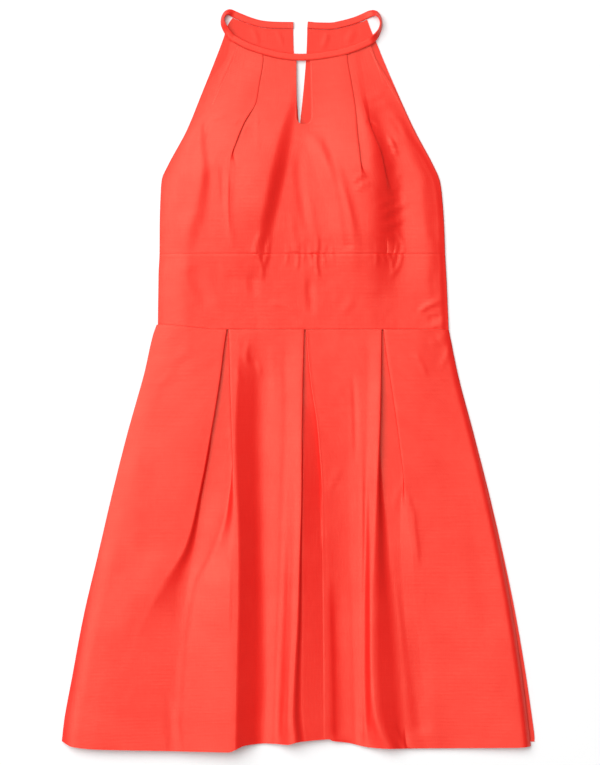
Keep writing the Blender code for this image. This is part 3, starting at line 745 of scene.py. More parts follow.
def fold_line(fold, turn):
    """Points (across, height) where cloth coming from the left turns down over a fold.

    The line is an arc at the crest, a straight fall and an arc at the foot. Both arcs shrink where
    a closed fold leaves them no room, and grow as it opens.
    """
    drop = max(fold.top - fold.foot, 0.02)
    crest = min(0.36 * drop, turn.crest)
    knee = min(0.5 * drop, turn.foot)
    room = drop * (0.86 - 0.42 * ease(fold.under / 5))
    shrink = min(1.0, room / (crest + knee))
    crest *= shrink
    knee *= shrink
    across = crest + knee - fold.under
    start = fold.edge - crest
    opened = max(0.0, -fold.under)
    widest = 0.96 * (across * across + drop * drop) / (2 * drop)
    both = min(crest + knee + turn.softness * opened, widest)
    crest = both * crest / (crest + knee)
    knee = both - crest
    reach = math.hypot(across, both - drop)
    slope = math.atan2(across, both - drop) % math.tau - math.acos(min(1.0, both / reach))
    slope = max(slope, 0.001)
    if abs(math.cos(slope)) > abs(math.sin(slope)):
        straight = (across - both * math.sin(slope)) / math.cos(slope)
    else:
        straight = (drop - both * (1 - math.cos(slope))) / math.sin(slope)
    first, last = crest * slope, knee * slope
    total = first + straight + last
    # A shallow turn still gets its share of the points.
    least = 0.16 * total * max(0.0, 1 - slope / 2)
    points = []
    for i in range(2 * turn.steps + 2):
        if i <= turn.steps:
            mark = max(first, least) * i / turn.steps
        else:
            mark = total - max(last, least) * (2 * turn.steps + 1 - i) / turn.steps
        if mark <= first:
            angle = mark / crest
            x = crest * math.sin(angle)
            z = -crest * (1 - math.cos(angle))
        elif mark <= first + straight:
            run = mark - first
            x = crest * math.sin(slope) + run * math.cos(slope)
            z = -crest * (1 - math.cos(slope)) - run * math.sin(slope)
        else:
            angle = (total - mark) / knee
            x = across - knee * math.sin(angle)
            z = -drop + knee * (1 - math.cos(angle))
        points.append((start + x, fold.top + z))
    return points


def rising_line(fold, turn):
    """The same fold seen from the other side: the cloth comes from below and turns up."""
    mirrored = fold_line(fold._replace(edge=-fold.edge), turn)
    return [(-x, z) for x, z in reversed(mirrored)]


def drape(start, end, steps, straight=0.0):
    """Points between two places, without the two ends: level at both, or straight across."""
    points = []
    for i in range(1, steps):
        t = i / steps
        share = ease(t) + (t - ease(t)) * straight
        x = start[0] + (end[0] - start[0]) * t
        points.append((x, start[1] + (end[1] - start[1]) * share))
    return points


def join(line, after, steps, straight=0.0):
    """Carries a line on to the points that come after it."""
    line += drape(line[-1], after[0], steps, straight) + after


def flank(start, end, steps, foot=0.34):
    """Points down from a crisp ridge: a short turn, a straight fall and a softer foot."""
    turn = 0.08
    whole = 1 - turn / 2 - foot / 2
    points = []
    for i in range(1, steps):
        t = i / steps
        if t < turn:
            fall = t * t / (2 * turn)
        elif t < 1 - foot:
            fall = t - turn / 2
        else:
            fall = whole - (1 - t) ** 2 / (2 * foot)
        x = start[0] + (end[0] - start[0]) * t
        points.append((x, start[1] + (end[1] - start[1]) * fall / whole))
    return points


def side_roll(seam_x, inner, width, rise, steps):
    """Points from a side seam in to the pleats, rolling up off the back within a short way."""
    points = []
    reach = inner[0] - seam_x
    for i in range(steps):
        t = (i / steps) ** 1.5
        inside = abs(reach) * t
        level = FRONT_Z + rise + (inner[1] - FRONT_Z - rise) * ease(t)
        points.append((seam_x + reach * t, FRONT_Z + (level - FRONT_Z) * rounded(inside / width)))
    return points


def crease_lift(creases, x, at):
    """Height that the listed creases add at a place on a panel."""
    lift = 0.0
    for crease in creases:
        run_x = crease.x1 - crease.x0
        run_at = crease.at1 - crease.at0
        length = math.hypot(run_x, run_at)
        t = ((x - crease.x0) * run_x + (at - crease.at0) * run_at) / length ** 2
        if not -0.001 < t < 1.001:
            continue
        way = math.copysign(1, run_at)
        beside = ((x - crease.x0) * abs(run_at) - (at - crease.at0) * run_x * way) / length
        beside -= crease.bow * 4 * t * (1 - t)
        reach = crease.left if beside < 0 else crease.right
        if abs(beside) >= reach:
            continue
        start = 1.0 if crease.ends == "start" else ease(t / 0.3)
        end = 1.0 if crease.ends == "end" else ease((1 - t) / 0.35)
        lift += crease.height * start * end * ease(1 - abs(beside) / reach)
    return lift


def crumple(x, at, waves):
    """Slight unevenness of crisp cloth that has been worn and laid down."""
    layer = 3.7
    total = 0.0
    for size, height in waves:
        total += height * noise.noise(Vector((x / size, at / size, layer)))
    return total


def seam_dip(away):
    """How far the cloth dips where it turns into a seam, by distance from the seam."""
    return -0.18 * (1 - ease(away / 1.2))


# ------ sections across the dress


def skirt_section(at):
    """Points (across, height) of the skirt front at a distance below the waist seam."""
    outline = between(FRONT_SKIRT_OUTLINE, at)
    sides = between(SKIRT_SIDES, at)
    outer = between(LEFT_PLEAT_OUTER, at)
    far = between(RIGHT_PLEAT_RIGHT, at)
    first = fold_line(outer, FIRST_FOLD)
    second = rising_line(between(LEFT_PLEAT_INNER, at), PRESSED_EDGE)
    third = fold_line(between(MIDDLE_PLEAT_LEFT, at), MIDDLE_FOLD)
    fourth = rising_line(between(MIDDLE_PLEAT_RIGHT, at), MIDDLE_EDGE)
    fifth = fold_line(between(RIGHT_PLEAT_LEFT, at), LAST_FOLD)
    sixth = rising_line(far, PRESSED_EDGE)
    left = between(LEFT_TROUGH, at)
    right = between(RIGHT_TROUGH, at)
    left_low = (left.low_x, left.low)
    right_low = (right.low_x, right.low)
    # Beyond the outer folds the cloth lies level for a short way, then rolls down to the sides.
    level = 12
    risen_left = (outer.edge - max(outer.under, 0) - level, outer.top)
    risen_right = (far.edge + max(far.under, 0) + level, far.top)
    line = side_roll(outline.left, risen_left, sides.left_width, sides.left_rise, 30)
    line.append(risen_left)
    join(line, first, 8)
    join(line, second, 10)
    brink = (line[-1][0] + left.brink, line[-1][1])
    join(line, [brink], 4)
    line += flank(brink, left_low, 20) + [left_low]
    join(line, [(left.crest_x, left.crest)], 14)
    join(line, third, 10)
    join(line, fourth, 10, ease((at - 30) / 50))
    brink = (line[-1][0] + right.brink, line[-1][1] - 0.1 * right.brink)
    join(line, [brink], 4, 1.0)
    line += flank(brink, right_low, 20, 0.74) + [right_low]
    join(line, [(right.crest_x, right.crest)], 12)
    join(line, fifth, 8)
    join(line, sixth, 6)
    join(line, [risen_right], 8)
    line += side_roll(outline.right, risen_right, sides.right_width, sides.right_rise, 30)[::-1]
    return line


def hem_reach(hem, across, at):
    """Distance below the waist of a point of the skirt, drawn in where the hem is short."""
    short = SKIRT_LENGTH - between(hem, across).below
    return at - short * (at / SKIRT_LENGTH) ** 3


def bodice_height(x, at):
    """Height of the front's wall above the surface, without its tucks."""
    outline = between(FRONT_BODICE_OUTLINE, at)
    crown = between(BODICE_CROWN, at)
    inside = min(x - outline.left, outline.right - x)
    # The right side's own rounding takes over beside the last pleat.
    toward_right = ease((x - 82) / 50)
    left = crown.rise * ease(inside / crown.edge)
    right = crown.right_rise * ease(inside / crown.right_edge)
    height = FRONT_Z + left + (right - left) * toward_right
    for rows in BODICE_RIDGES:
        if not rows[0].at < at < rows[-1].at:
            continue
        ridge = between(rows, at)
        away = x - ridge.across
        width = ridge.gentle if away < 0 else ridge.steep
        height += ridge.height * ease(1 - abs(away) / width) * ease(inside / 25)
    return height


def keyhole_edges(at):
    """Left and right edge of the keyhole at a height above the waist seam."""
    half = KEYHOLE_WIDTH / 2
    above = at - KEYHOLE_FOOT
    if above <= 0:
        return KEYHOLE_X, KEYHOLE_X
    open_by = half if above >= half else math.sqrt(half ** 2 - (half - above) ** 2)
    # Higher up it widens a little at the left and narrows at the right.
    left = open_by * (1 + 0.06 * ease(above / 60))
    right = open_by * (1 - 0.16 * ease((above - 20) / 70))
    return KEYHOLE_X - left, KEYHOLE_X + right


def bodice_halves(at):
    """Points (across, lift) of the bodice front in two halves that meet at the keyhole."""
    outline = between(FRONT_BODICE_OUTLINE, at)
    hole_left, hole_right = keyhole_edges(at)
    first = fold_line(between(LEFT_TUCK, at), TUCK)
    second = fold_line(between(RIGHT_TUCK, at), TUCK)
    third = fold_line(between(OUTER_TUCK, at), TUCK)
    left = [(outline.left, 0.0)]
    join(left, first, 34)
    join(left, [(hole_left, 0.0)], 30)
    right = [(hole_right, 0.0)]
    join(right, second, 30)
    join(right, third, 6)
    join(right, [(outline.right, 0.0)], 24)
    return left, right


# ------ making a piece from its rows


def new_object(name, data):
    """Puts a mesh, lamp or camera into the scene."""
    made = bpy.data.objects.new(name, data)
    bpy.context.scene.collection.objects.link(made)
    return made


def cut_piece(name, *grids, wall=CLOTH, offset=0.0):
    """A piece of cloth from grids of points, with its grain laid flat and its wall by Solidify."""
    work = bmesh.new()
    laid = work.loops.layers.uv.new("grain")
    for grid in grids:
        flat = unrolled(grid)
        made = [[work.verts.new(point) for point in row] for row in grid]
        for i in range(len(grid) - 1):
            for j in range(len(grid[0]) - 1):
                corners = ((i, j), (i + 1, j), (i + 1, j + 1), (i, j + 1))
                face = work.faces.new([made[a][b] for a, b in corners])
                face.smooth = True
                for loop, (a, b) in zip(face.loops, corners):
                    loop[laid].uv = flat[a][b]
    bmesh.ops.remove_doubles(work, verts=work.verts, dist=0.000002)
    mesh = bpy.data.meshes.new(name)
    work.to_mesh(mesh)
    work.free()
    piece = new_object(name, mesh)
    thickness = piece.modifiers.new("wall", "SOLIDIFY")
    thickness.thickness = wall * MM
    thickness.offset = offset
    thickness.use_even_offset = True
    thickness.use_quality_normals = True
    return piece


def unrolled(grid):
    """Flat grain of a grid: distance along each row from its middle, and down the rows."""
    down = 0.0
    flat = []
    middle = len(grid[0]) // 2
    for i, row in enumerate(grid):
        if i:
            down += (row[middle] - grid[i - 1][middle]).length
        runs = [0.0]
        for a, b in zip(row, row[1:]):
            runs.append(runs[-1] + (b - a).length)
        flat.append([(run - runs[middle], -down) for run in runs])
    return flat


def settle(piece):
    """Applies the piece's modifiers, so that edges at a corner can be marked sharp."""
    evaluated = piece.evaluated_get(bpy.context.evaluated_depsgraph_get())
    mesh = bpy.data.meshes.new_from_object(evaluated)
    piece.modifiers.clear()
    piece.data = mesh
    mesh.set_sharp_from_angle(angle=math.radians(50))


# ------ finishes


def linear(hex_code):
    """An sRGB hex colour as linear red, green, blue and alpha."""
    channels = []
    for i in (1, 3, 5):
        value = int(hex_code[i:i + 2], 16) / 255
        channels.append(value / 12.92 if value <= 0.04045 else ((value + 0.055) / 1.055) ** 2.4)
    return (*channels, 1.0)


def node(tree, kind, settings=None, **links):
    """Adds a shader node with its settings, and links or sets its inputs by name.

    An input that shares its name with others goes by its number, as in2.
    """
    made = tree.nodes.new(kind)
    for key, value in (settings or {}).items():
        setattr(made, key, value)
    for name, value in links.items():
        socket = made.inputs[int(name[2:]) if name.startswith("in") else name.replace("_", " ")]
        if isinstance(value, bpy.types.NodeSocket):
            tree.links.new(value, socket)
        else:
            socket.default_value = value
    return made


def new_finish(name):
    """An empty material and its node tree."""
    material = bpy.data.materials.new(name)
    material.use_nodes = True
    tree = material.node_tree
    tree.nodes.clear()
    return material, tree


def woven_taffeta(name, deep, bright, roughness, rib, shine):
    """Taffeta: a tight plain weave of fine warp and slightly thicker weft.

    The thicker weft gives faint ribs across the cloth, and slubs in it make short streaks.
    Its smooth filaments give a soft, broad shine over a clear colour. "rib" is in metres.
    """
    material, tree = new_finish(name)
    grain = node(tree, "ShaderNodeUVMap", {"uv_map": "grain"}).outputs["UV"]
    # Ribs are 0.4 mm apart on the real cloth, and are drawn wider so that they show.
    across = node(tree, "ShaderNodeMapping", Vector=grain, Scale=(0.25, 1.0, 1.0)).outputs[0]
    # A wave of scale 1 repeats every 0.314 units.
    ribs = node(
        tree, "ShaderNodeTexWave", {"wave_type": "BANDS", "bands_direction": "Y"},
        Vector=across, Scale=0.314 / rib, Distortion=1.2, Detail=1.0,
    ).outputs["Fac"]
    # Weft slubs run 20 to 60 mm across the cloth and warp slubs half that down it.
    weft = node(tree, "ShaderNodeMapping", Vector=grain, Scale=(30, 900, 1.0)).outputs[0]
    slubs = node(tree, "ShaderNodeTexNoise", Vector=weft, Scale=1.0, Detail=2.0).outputs["Fac"]
    warp = node(tree, "ShaderNodeMapping", Vector=grain, Scale=(700, 40, 1.0)).outputs[0]
    threads = node(tree, "ShaderNodeTexNoise", Vector=warp, Scale=1.0, Detail=2.0).outputs["Fac"]
    streaks = node(tree, "ShaderNodeMix", {"data_type": "FLOAT"}, in0=0.45, in2=slubs, in3=threads)
    height = node(
        tree, "ShaderNodeMath", {"operation": "MULTIPLY_ADD"},
        in0=ribs, in1=0.25, in2=streaks.outputs[0],
    ).outputs[0]
    raised = node(tree, "ShaderNodeBump", Strength=0.45, Distance=0.0005, Height=height)
    # The dye takes a little unevenly over 30 to 60 mm, and along single threads.
    patches = node(tree, "ShaderNodeTexNoise", Vector=grain, Scale=24.0, Detail=3.0).outputs["Fac"]
    uneven = node(
        tree, "ShaderNodeMix", {"data_type": "FLOAT"},
        in0=0.5, in2=patches, in3=streaks.outputs[0],
    ).outputs[0]
    dye = node(tree, "ShaderNodeValToRGB", Fac=uneven)
    low, high = 0.3, 0.7
    for stop, place_on, colour in zip(dye.color_ramp.elements, (low, high), (deep, bright)):
        stop.position = place_on
        stop.color = linear(colour)
    # Slubs shine a little more than the fine threads between them.
    gloss = node(
        tree, "ShaderNodeMapRange", Value=uneven,
        From_Min=low, From_Max=high, To_Min=0.86 * shine, To_Max=1.14 * shine,
    ).outputs[0]
    shader = node(
        tree, "ShaderNodeBsdfPrincipled",
        Base_Color=dye.outputs[0], Roughness=roughness, Normal=raised.outputs[0],
        Specular_IOR_Level=gloss, Specular_Tint=(1.0, 0.93, 0.64, 1.0),
        Sheen_Weight=0.08, Sheen_Roughness=0.4, Sheen_Tint=linear("#ff9a86"),
    )
    node(tree, "ShaderNodeOutputMaterial", Surface=shader.outputs[0])
    return material


def spun_thread(name, colour):
    """Sewing thread: spun polyester, a little duller than the taffeta."""
    material, tree = new_finish(name)
    where = tree.nodes.new("ShaderNodeTexCoord").outputs["Object"]
    twist = node(
        tree, "ShaderNodeTexWave", {"wave_type": "BANDS", "bands_direction": "DIAGONAL"},
        Vector=where, Scale=520.0, Distortion=0.5,
    ).outputs["Fac"]
    raised = node(tree, "ShaderNodeBump", Strength=0.3, Distance=0.0002, Height=twist)
    shader = node(
        tree, "ShaderNodeBsdfPrincipled",
        Base_Color=linear(colour), Roughness=0.7, Normal=raised.outputs[0],
    )
    node(tree, "ShaderNodeOutputMaterial", Surface=shader.outputs[0])
    return material


def matt_paper(name):
    """Seamless background paper: matt, with a very fine tooth."""
    material, tree = new_finish(name)
    where = tree.nodes.new("ShaderNodeTexCoord").outputs["Object"]
    tooth = node(tree, "ShaderNodeTexNoise", Vector=where, Scale=900.0, Detail=2.0).outputs["Fac"]
    raised = node(tree, "ShaderNodeBump", Strength=0.03, Distance=0.0003, Height=tooth)
    shader = node(
        tree, "ShaderNodeBsdfPrincipled",
        Base_Color=linear("#fcfcfc"), Roughness=0.9, Normal=raised.outputs[0],
        Specular_IOR_Level=0.2,
    )
    node(tree, "ShaderNodeOutputMaterial", Surface=shader.outputs[0])
    return material


coral_taffeta = woven_taffeta("coral_taffeta", "#f61b18", "#fb211b", 0.43, 0.0016, 0.66)
# The back pieces' finish is a slightly darker red than the front's. This is painted shade for the back
# where it shows beneath the front at the keyhole and armholes. Its lower gloss is the duller inside of
# the cloth.
taffeta_inside_painted_shade = woven_taffeta("coral_taffeta_inside_painted_shade", "#f01d19", "#f6231d", 0.5, 0.0016, 0.58)
pressed_taffeta = woven_taffeta("pressed_coral_taffeta", "#f71e1a", "#fb241d", 0.46, 0.0012, 0.64)
coral_thread = spun_thread("coral_sewing_thread", "#ff7a68")
white_paper = matt_paper("white_background_paper")


def dress_piece(piece, finish, cad_node):
    """Gives a piece its finish and its place on the dress, and hides the solid it stands for."""
    piece.data.materials.append(finish)
    settle(piece)
    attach(piece, "root")
    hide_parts(cad_node)
    return piece


# ------ the front skirt


def make_front_skirt():
    rows = [SKIRT_TOP, *SEAM_ROWS[1:], 4.0] + [6 + 4.9 * i for i in range(105)]
    rows += [SKIRT_LENGTH - 1.5, SKIRT_LENGTH]
    hem_top = SKIRT_LENGTH - HEM_ALLOWANCE
    grid = []
    for at in rows:
        row = []
        for x, z in skirt_section(at):
            z += crease_lift(SKIRT_CREASES, x, at) + crumple(x, at, SKIRT_CRUMPLE)
            z += seam_dip(at)
            z += HEM_STEP * ease((at - hem_top + HEM_TURN) / HEM_TURN)
            row.append(place(x, -hem_reach(FRONT_HEM, x, at), max(z, FRONT_LEAST)))
        grid.append(row)
    piece = cut_piece("taffeta_front_skirt", grid)
    return dress_piece(piece, coral_taffeta, "front_skirt")


# ------ the midriff


def make_front_midriff():
    low = SEAM / 2
    high = UNDERBUST - SEAM / 2
    rows = [*SEAM_ROWS] + [4.5 + 3.0 * i for i in range(29)]
    rows += [high - low - near for near in SEAM_ROWS[::-1]]
    columns = 170
    grid = []
    for down in rows:
        at = high - down
        outline = between(FRONT_BODICE_OUTLINE, at)
        row = []
        for j in range(columns + 1):
            x = outline.left + (outline.right - outline.left) * j / columns
            z = bodice_height(x, at) + crease_lift(MIDRIFF_CREASES, x, at)
            z += crumple(x, at, MIDRIFF_CRUMPLE)
            z += seam_dip(min(high - at, at - low))
            row.append(place(x, at, max(z, FRONT_LEAST)))
        grid.append(row)
    piece = cut_piece("taffeta_front_midriff", grid)
    return dress_piece(piece, coral_taffeta, "front_midriff")


# ------ the front bodice


def half_width(side, at):
    """Width of the bodice front from the middle to its left or right edge."""
    outline = between(FRONT_BODICE_OUTLINE, at)
    return outline.right if side > 0 else -outline.left


def neckline_at(side):
    """Height of the neckline at a share of the way to the armhole, -1 to 1."""
    height = FRONT_NECKLINE[len(FRONT_NECKLINE) // 2].height
    for _ in range(8):
        height = between(FRONT_NECKLINE, side * half_width(side, height)).height
    return height


def make_front_bodice():
    low = UNDERBUST + SEAM / 2
    lowest_neck = min(row.height for row in FRONT_NECKLINE)
    rows = [low + near for near in SEAM_ROWS]
    rows += [low + 5 + 3.6 * i for i in range(43)]
    rows += [KEYHOLE_FOOT - 2.5, KEYHOLE_FOOT - 1, KEYHOLE_FOOT]
    # Round the foot of the keyhole the rows follow its half circle.
    half = KEYHOLE_WIDTH / 2
    rows += [KEYHOLE_FOOT + half * (1 - math.cos(math.radians(9 * i))) for i in range(1, 11)]
    rows += [KEYHOLE_FOOT + 11 + 3.5 * i for i in range(19)] + [lowest_neck - 1.6, lowest_neck]
    halves = ([], [])
    for flat in rows[::-1]:
        level = (flat - low) / (lowest_neck - low)
        for side_of_hole, line in zip(halves, bodice_halves(flat)):
            row = []
            for x, lift in line:
                side = x / half_width(x, flat)
                up = flat + (neckline_at(side) - lowest_neck) * level ** 3
                x = side * half_width(x, up)
                z = bodice_height(x, up) + lift + crease_lift(BODICE_CREASES, x, up)
                z += crumple(x, up, BODICE_CRUMPLE) * (1 - level)
                z += seam_dip(up - low)
                if up > KEYHOLE_FOOT:
                    z += 0.6 * seam_dip(0.9 * min(abs(x - edge) for edge in keyhole_edges(up)))
                row.append(place(x, up, max(z, FRONT_LEAST)))
            side_of_hole.append(row)
    piece = cut_piece("taffeta_front_bodice", *halves)
    return dress_piece(piece, coral_taffeta, "front_bodice")


# ------ the back


def slit_edge(side, at):
    """Half the width of the centre-back slit at a height above the waist seam."""
    if at <= SLIT_FOOT:
        return SEAM / 2
    opened = (at - SLIT_FOOT) / (SLIT_TOP - SLIT_FOOT)
    widest = SLIT_LEFT if side < 0 else SLIT_RIGHT
    return SEAM / 2 + (widest - SEAM / 2) * min(1.0, opened) ** 0.9


def back_half(outline, side, from_seam):
    """Left and right edge of a half of the back, between its side seam and the centre back."""
    inner = CENTRE_X + side * from_seam
    return (outline.left, inner) if side < 0 else (inner, outline.right)


def make_back_bodice(name, side, neckline, cad_node):
    low = SEAM / 2
    lowest_neck = min(row.height for row in neckline)
    grid = []
    for i in range(81):
        level = 1 - (i / 80) ** 1.3
        flat = low + (lowest_neck - low) * level
        row = []
        for j in range(41):
            share = j / 40
            neck_x = neckline[0].across + (neckline[-1].across - neckline[0].across) * share
            up = flat + (between(neckline, neck_x).height - lowest_neck) * level ** 6
            outline = between(BACK_BODICE_OUTLINE, up)
            left, right = back_half(outline, side, slit_edge(side, up))
            x = left + (right - left) * share
            from_armhole = share if side < 0 else 1 - share
            x += (neck_x - x) * level ** 6 * ease(from_armhole / 0.12)
            z = BACK_Z + max(0.0, crease_lift(BACK_NECK_CREASES, x, up))
            row.append(place(x, up, z))
        grid.append(row)
    return dress_piece(cut_piece(name, grid), taffeta_inside_painted_shade, cad_node)


def make_back_skirt(name, side, cad_node):
    grid = []
    for i in range(81):
        at = SKIRT_TOP + (SKIRT_LENGTH - SKIRT_TOP) * i / 80
        left, right = back_half(between(BACK_SKIRT_OUTLINE, at), side, SEAM / 2)
        row = []
        for j in range(31):
            x = left + (right - left) * j / 30
            row.append(place(x, -hem_reach(BACK_HEM, x, at), BACK_Z))
        grid.append(row)
    return dress_piece(cut_piece(name, grid), taffeta_inside_painted_shade, cad_node)


# ------ the neckband


def along_edge(neckline, lift, count):
    """Neckband stations beside a neckline, half the band's width and a seam away from it."""
    away = BAND_WIDTH / 2 + SEAM
    left, right = neckline[0].across, neckline[-1].across
    stations = []
    for i in range(count + 1):
        x = left + (right - left) * i / count
        up = between(neckline, x).height
        before, after = max(left, x - 1), min(right, x + 1)
        rise = between(neckline, after).height - between(neckline, before).height
        run = Vector((after - before, rise)).normalized()
        stations.append(Station(x - run.y * away, up + run.x * away, lift, 0.0))
    return stations


def curve_through(stations, share):
    """Smooth curve through all the stations, from 0 to 1."""
    place_on = share * (len(stations) - 1)
    i = min(int(place_on), len(stations) - 2)
    t = place_on - i
    p0 = stations[max(0, i - 1)]
    p1 = stations[i]
    p2 = stations[i + 1]
    p3 = stations[min(len(stations) - 1, i + 2)]
    values = []
    for a, b, c, d in zip(p0, p1, p2, p3):
        values.append(0.5 * (
            2 * b + (c - a) * t
            + (2 * a - 5 * b + 4 * c - d) * t * t
            + (3 * b - a - 3 * c + d) * t ** 3
        ))
    return Station(*values)


# Half of the folded band's outline, from its outer edge over the top to its inner edge:
# how far out and how high, each as a share of half the width and half the thickness.
BAND_ROUND = (
    (1.0, 0.0), (0.985, 0.45), (0.93, 0.78), (0.84, 0.93), (0.6, 1.0), (0.2, 0.96),
    (-0.2, 0.96), (-0.6, 1.0), (-0.74, 0.9), (-0.80, 0.72), (-0.86, 0.86), (-0.94, 0.74),
    (-0.985, 0.4), (-1.0, 0.0),
)


def make_neckband():
    stations = along_edge(LEFT_BACK_NECKLINE, 0.0, 7)[::-1]
    stations += LEFT_LOOP
    stations += along_edge(FRONT_NECKLINE, FRONT_BAND_LIFT, 18)
    stations += RIGHT_LOOP
    stations += along_edge(RIGHT_BACK_NECKLINE, 0.0, 7)[::-1]
    outline = list(BAND_ROUND) + [(out, -high) for out, high in BAND_ROUND[-2:0:-1]]
    count = 8 * (len(stations) - 1)
    grid = []
    for i in range(count + 1):
        share = i / count
        here = curve_through(stations, share)
        before = curve_through(stations, max(0.0, share - 0.001))
        after = curve_through(stations, min(1.0, share + 0.001))
        run = Vector((after.x - before.x, after.up - before.up)).normalized()
        inward = Vector((-run.y, run.x))
        roll = math.radians(max(0.0, here.roll))
        half, half_thick = BAND_WIDTH / 2, BAND_THICK / 2
        middle = max(0.0, here.lift) + half * math.sin(roll) + half_thick * math.cos(roll)
        row = []
        for out, high in outline + outline[:1]:
            out *= half
            high *= half_thick
            flat_out = out * math.cos(roll) - high * math.sin(roll)
            row.append(place(
                here.x + inward.x * flat_out,
                here.up + inward.y * flat_out,
                max(0.05, middle + out * math.sin(roll) + high * math.cos(roll)),
            ))
        grid.append(row)
    piece = cut_piece("taffeta_neckband", grid, wall=BAND_WALL, offset=1.0)
    return dress_piece(piece, pressed_taffeta, "neckband")


# ------ stitching


STITCH = 2.3
STITCH_GAP = 0.7
THREAD = 0.34
STITCH_ARCH = 0.14        # how far a stitch bows up in its middle
EDGE_STITCH = 1.6         # from the keyhole's edge to its stitches
EDGE_STITCHED = 77.0      # how far up from the keyhole's foot they go
MARK = 0.5                # stitches start and end on marks this far apart
ABOVE = 60.0              # higher than any of the cloth
# A stitch from end to end: share of its length, of its thickness and of its arch.
STITCH_SHAPE = ((0.0, 0.35, 0.0), (0.2, 0.9, 0.8), (0.5, 1.0, 1.0), (0.8, 0.9, 0.8), (1.0, 0.35, 0.0))


def keyhole_stitch_line(side):
    """Where the keyhole's edge is stitched, from its foot up to the neckband."""
    line = []
    for i in range(17):
        up = KEYHOLE_FOOT + 1 + EDGE_STITCHED * (i / 16) ** 1.6
        edge = keyhole_edges(up)[0 if side < 0 else 1]
        line.append((edge + side * EDGE_STITCH, up))
    return line


# Rows of stitches (across, up) that show: the facings inside the armholes, and across the ends of
# the neckband, two at the left end and one at the right.
ARMHOLE_STITCHES = (
    ((-75.5, 353), (-80.0, 337), (-91.0, 313), (-100.0, 294), (-107.5, 277)),
    ((88.5, 346), (98.0, 326), (108.0, 308), (119.0, 290), (126.0, 278)),
)
BAND_END_STITCHES = (
    ((-8.6, 373.4), (-8.6, 380.6)),
    ((-12.2, 373.4), (-12.2, 380.7)),
    ((12.4, 373.8), (12.6, 381.2)),
)


def make_stitching(name, lines, cloth):
    """Short stitches pulled down into the cloth below them, along lines on its upper side."""
    surface = BVHTree.FromObject(cloth, bpy.context.evaluated_depsgraph_get())
    work = bmesh.new()

    def on_cloth(x, up):
        return surface.ray_cast(place(x, up, ABOVE), Vector((0, 0, -1)))[0]

    def thread_ring(middle, beside, swell):
        upward = Vector((0, 0, THREAD * MM / 2))
        ring = []
        for i in range(6):
            angle = math.tau * i / 6
            around = beside * math.cos(angle) + upward * math.sin(angle)
            ring.append(work.verts.new(middle + around * swell))
        return ring

    for line in lines:
        marks = []
        for (x0, up0), (x1, up1) in zip(line, line[1:]):
            steps = max(1, round(math.hypot(x1 - x0, up1 - up0) / MARK))
            for i in range(steps):
                marks.append((x0 + (x1 - x0) * i / steps, up0 + (up1 - up0) * i / steps))
        per_stitch = round((STITCH + STITCH_GAP) / MARK)
        for i in range(0, len(marks) - per_stitch, per_stitch):
            start = on_cloth(*marks[i])
            end = on_cloth(*marks[i + per_stitch - 1])
            if start is None or end is None:
                continue
            along = end - start
            beside = along.cross(Vector((0, 0, 1))).normalized() * THREAD * MM / 2
            rings = []
            for share, swell, arch in STITCH_SHAPE:
                middle = start + along * share + Vector((0, 0, STITCH_ARCH * arch * MM))
                rings.append(thread_ring(middle, beside, swell))
            for a, b in zip(rings, rings[1:]):
                for j in range(6):
                    after = (j + 1) % 6
                    work.faces.new((a[j], a[after], b[after], b[j])).smooth = True
            work.faces.new(rings[0][::-1])
            work.faces.new(rings[-1])
    mesh = bpy.data.meshes.new(name)
    work.to_mesh(mesh)
    work.free()
    mesh.materials.append(coral_thread)
    stitches = new_object(name, mesh)
    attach(stitches, "root")


# ------ the scene round the dress


def hang_lamp(name, lamp, place_at):
    """Puts a lamp in its place, turned to the middle of the dress."""
    light = new_object(name, lamp)
    light.location = place_at
    light.rotation_mode = "QUATERNION"
    light.rotation_quaternion = (-light.location).to_track_quat("-Z", "Y")


def window_light(name, toward, width, strength):
    """Light from a wide window far off, "width" degrees across."""
    lamp = bpy.data.lights.new(name, "SUN")
    lamp.angle = math.radians(width)
    lamp.energy = strength
    hang_lamp(name, lamp, toward)


def softbox(name, place_at, across, power):
    """A round soft lamp near the table, which lights its own side of the table more."""
    lamp = bpy.data.lights.new(name, "AREA")
    lamp.shape = "DISK"
    lamp.size = across
    lamp.energy = power
    hang_lamp(name, lamp, place_at)


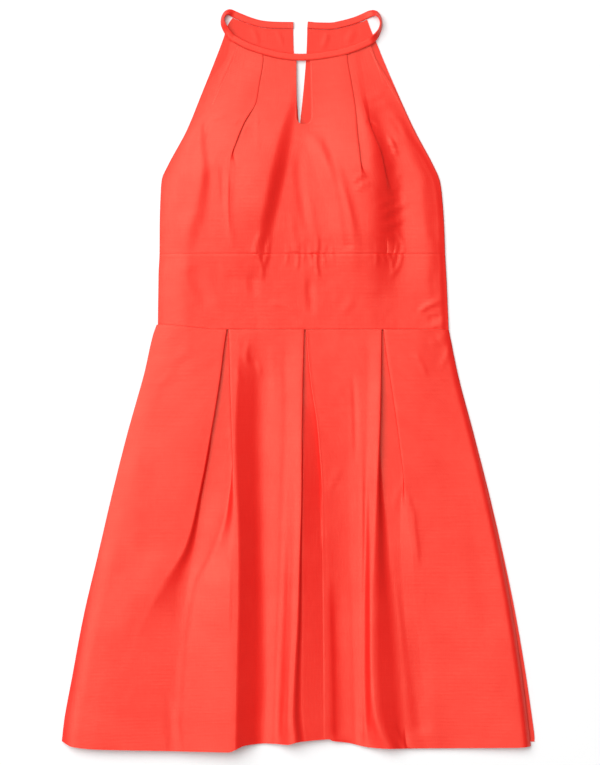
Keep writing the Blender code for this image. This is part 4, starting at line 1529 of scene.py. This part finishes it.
def make_floor():
    """Paper in metres, a hair below the cloth so that the two surfaces never share a plane."""
    reach, z = 9.0, -0.0002
    corners = [(-reach, -reach, z), (reach, -reach, z), (reach, reach, z), (-reach, reach, z)]
    mesh = bpy.data.meshes.new("paper_floor")
    mesh.from_pydata(corners, [], [(0, 1, 2, 3)])
    mesh.materials.append(white_paper)
    new_object("paper_floor", mesh)


def make_camera():
    """A long lens straight above, as far up as the photograph's scale needs."""
    lens = bpy.data.cameras.new("camera_above")
    lens.lens = 200.0
    lens.sensor_width = 36.0
    lens.clip_end = 60.0
    camera = new_object("camera_above", lens)
    half_length = PHOTO_ROWS / 2 * MM_PER_PIXEL * MM
    # The photograph's middle lies a few millimetres off the model's.
    camera.location = (0.0022, -0.0035, half_length * lens.lens / (lens.sensor_width / 2))
    bpy.context.scene.camera = camera


def make_world():
    world = bpy.data.worlds.new("studio")
    world.use_nodes = True
    background = world.node_tree.nodes["Background"].inputs
    background["Color"].default_value = (1.0, 1.0, 1.0, 1.0)
    background["Strength"].default_value = 0.15
    bpy.context.scene.world = world
    bpy.context.scene.view_settings.view_transform = "Standard"


front_skirt = make_front_skirt()
front_midriff = make_front_midriff()
front_bodice = make_front_bodice()
back_left = make_back_bodice("taffeta_back_bodice_left", -1, LEFT_BACK_NECKLINE, "back_bodice_left")
back_right = make_back_bodice("taffeta_back_bodice_right", 1, RIGHT_BACK_NECKLINE, "back_bodice_right")
skirt_left = make_back_skirt("taffeta_back_skirt_left", -1, "back_skirt_left")
skirt_right = make_back_skirt("taffeta_back_skirt_right", 1, "back_skirt_right")
neckband = make_neckband()

make_stitching("stitches_keyhole", [keyhole_stitch_line(-1), keyhole_stitch_line(1)], front_bodice)
make_stitching("stitches_armholes", ARMHOLE_STITCHES, front_bodice)
make_stitching("stitches_band_ends", BAND_END_STITCHES, neckband)

make_floor()
make_camera()
make_world()
window_light("window_upper_left", (-0.43, 0.29, 0.86), 76, 2.75)
softbox("softbox_upper_left", (-1.25, 0.85, 1.9), 2.4, 17.0)
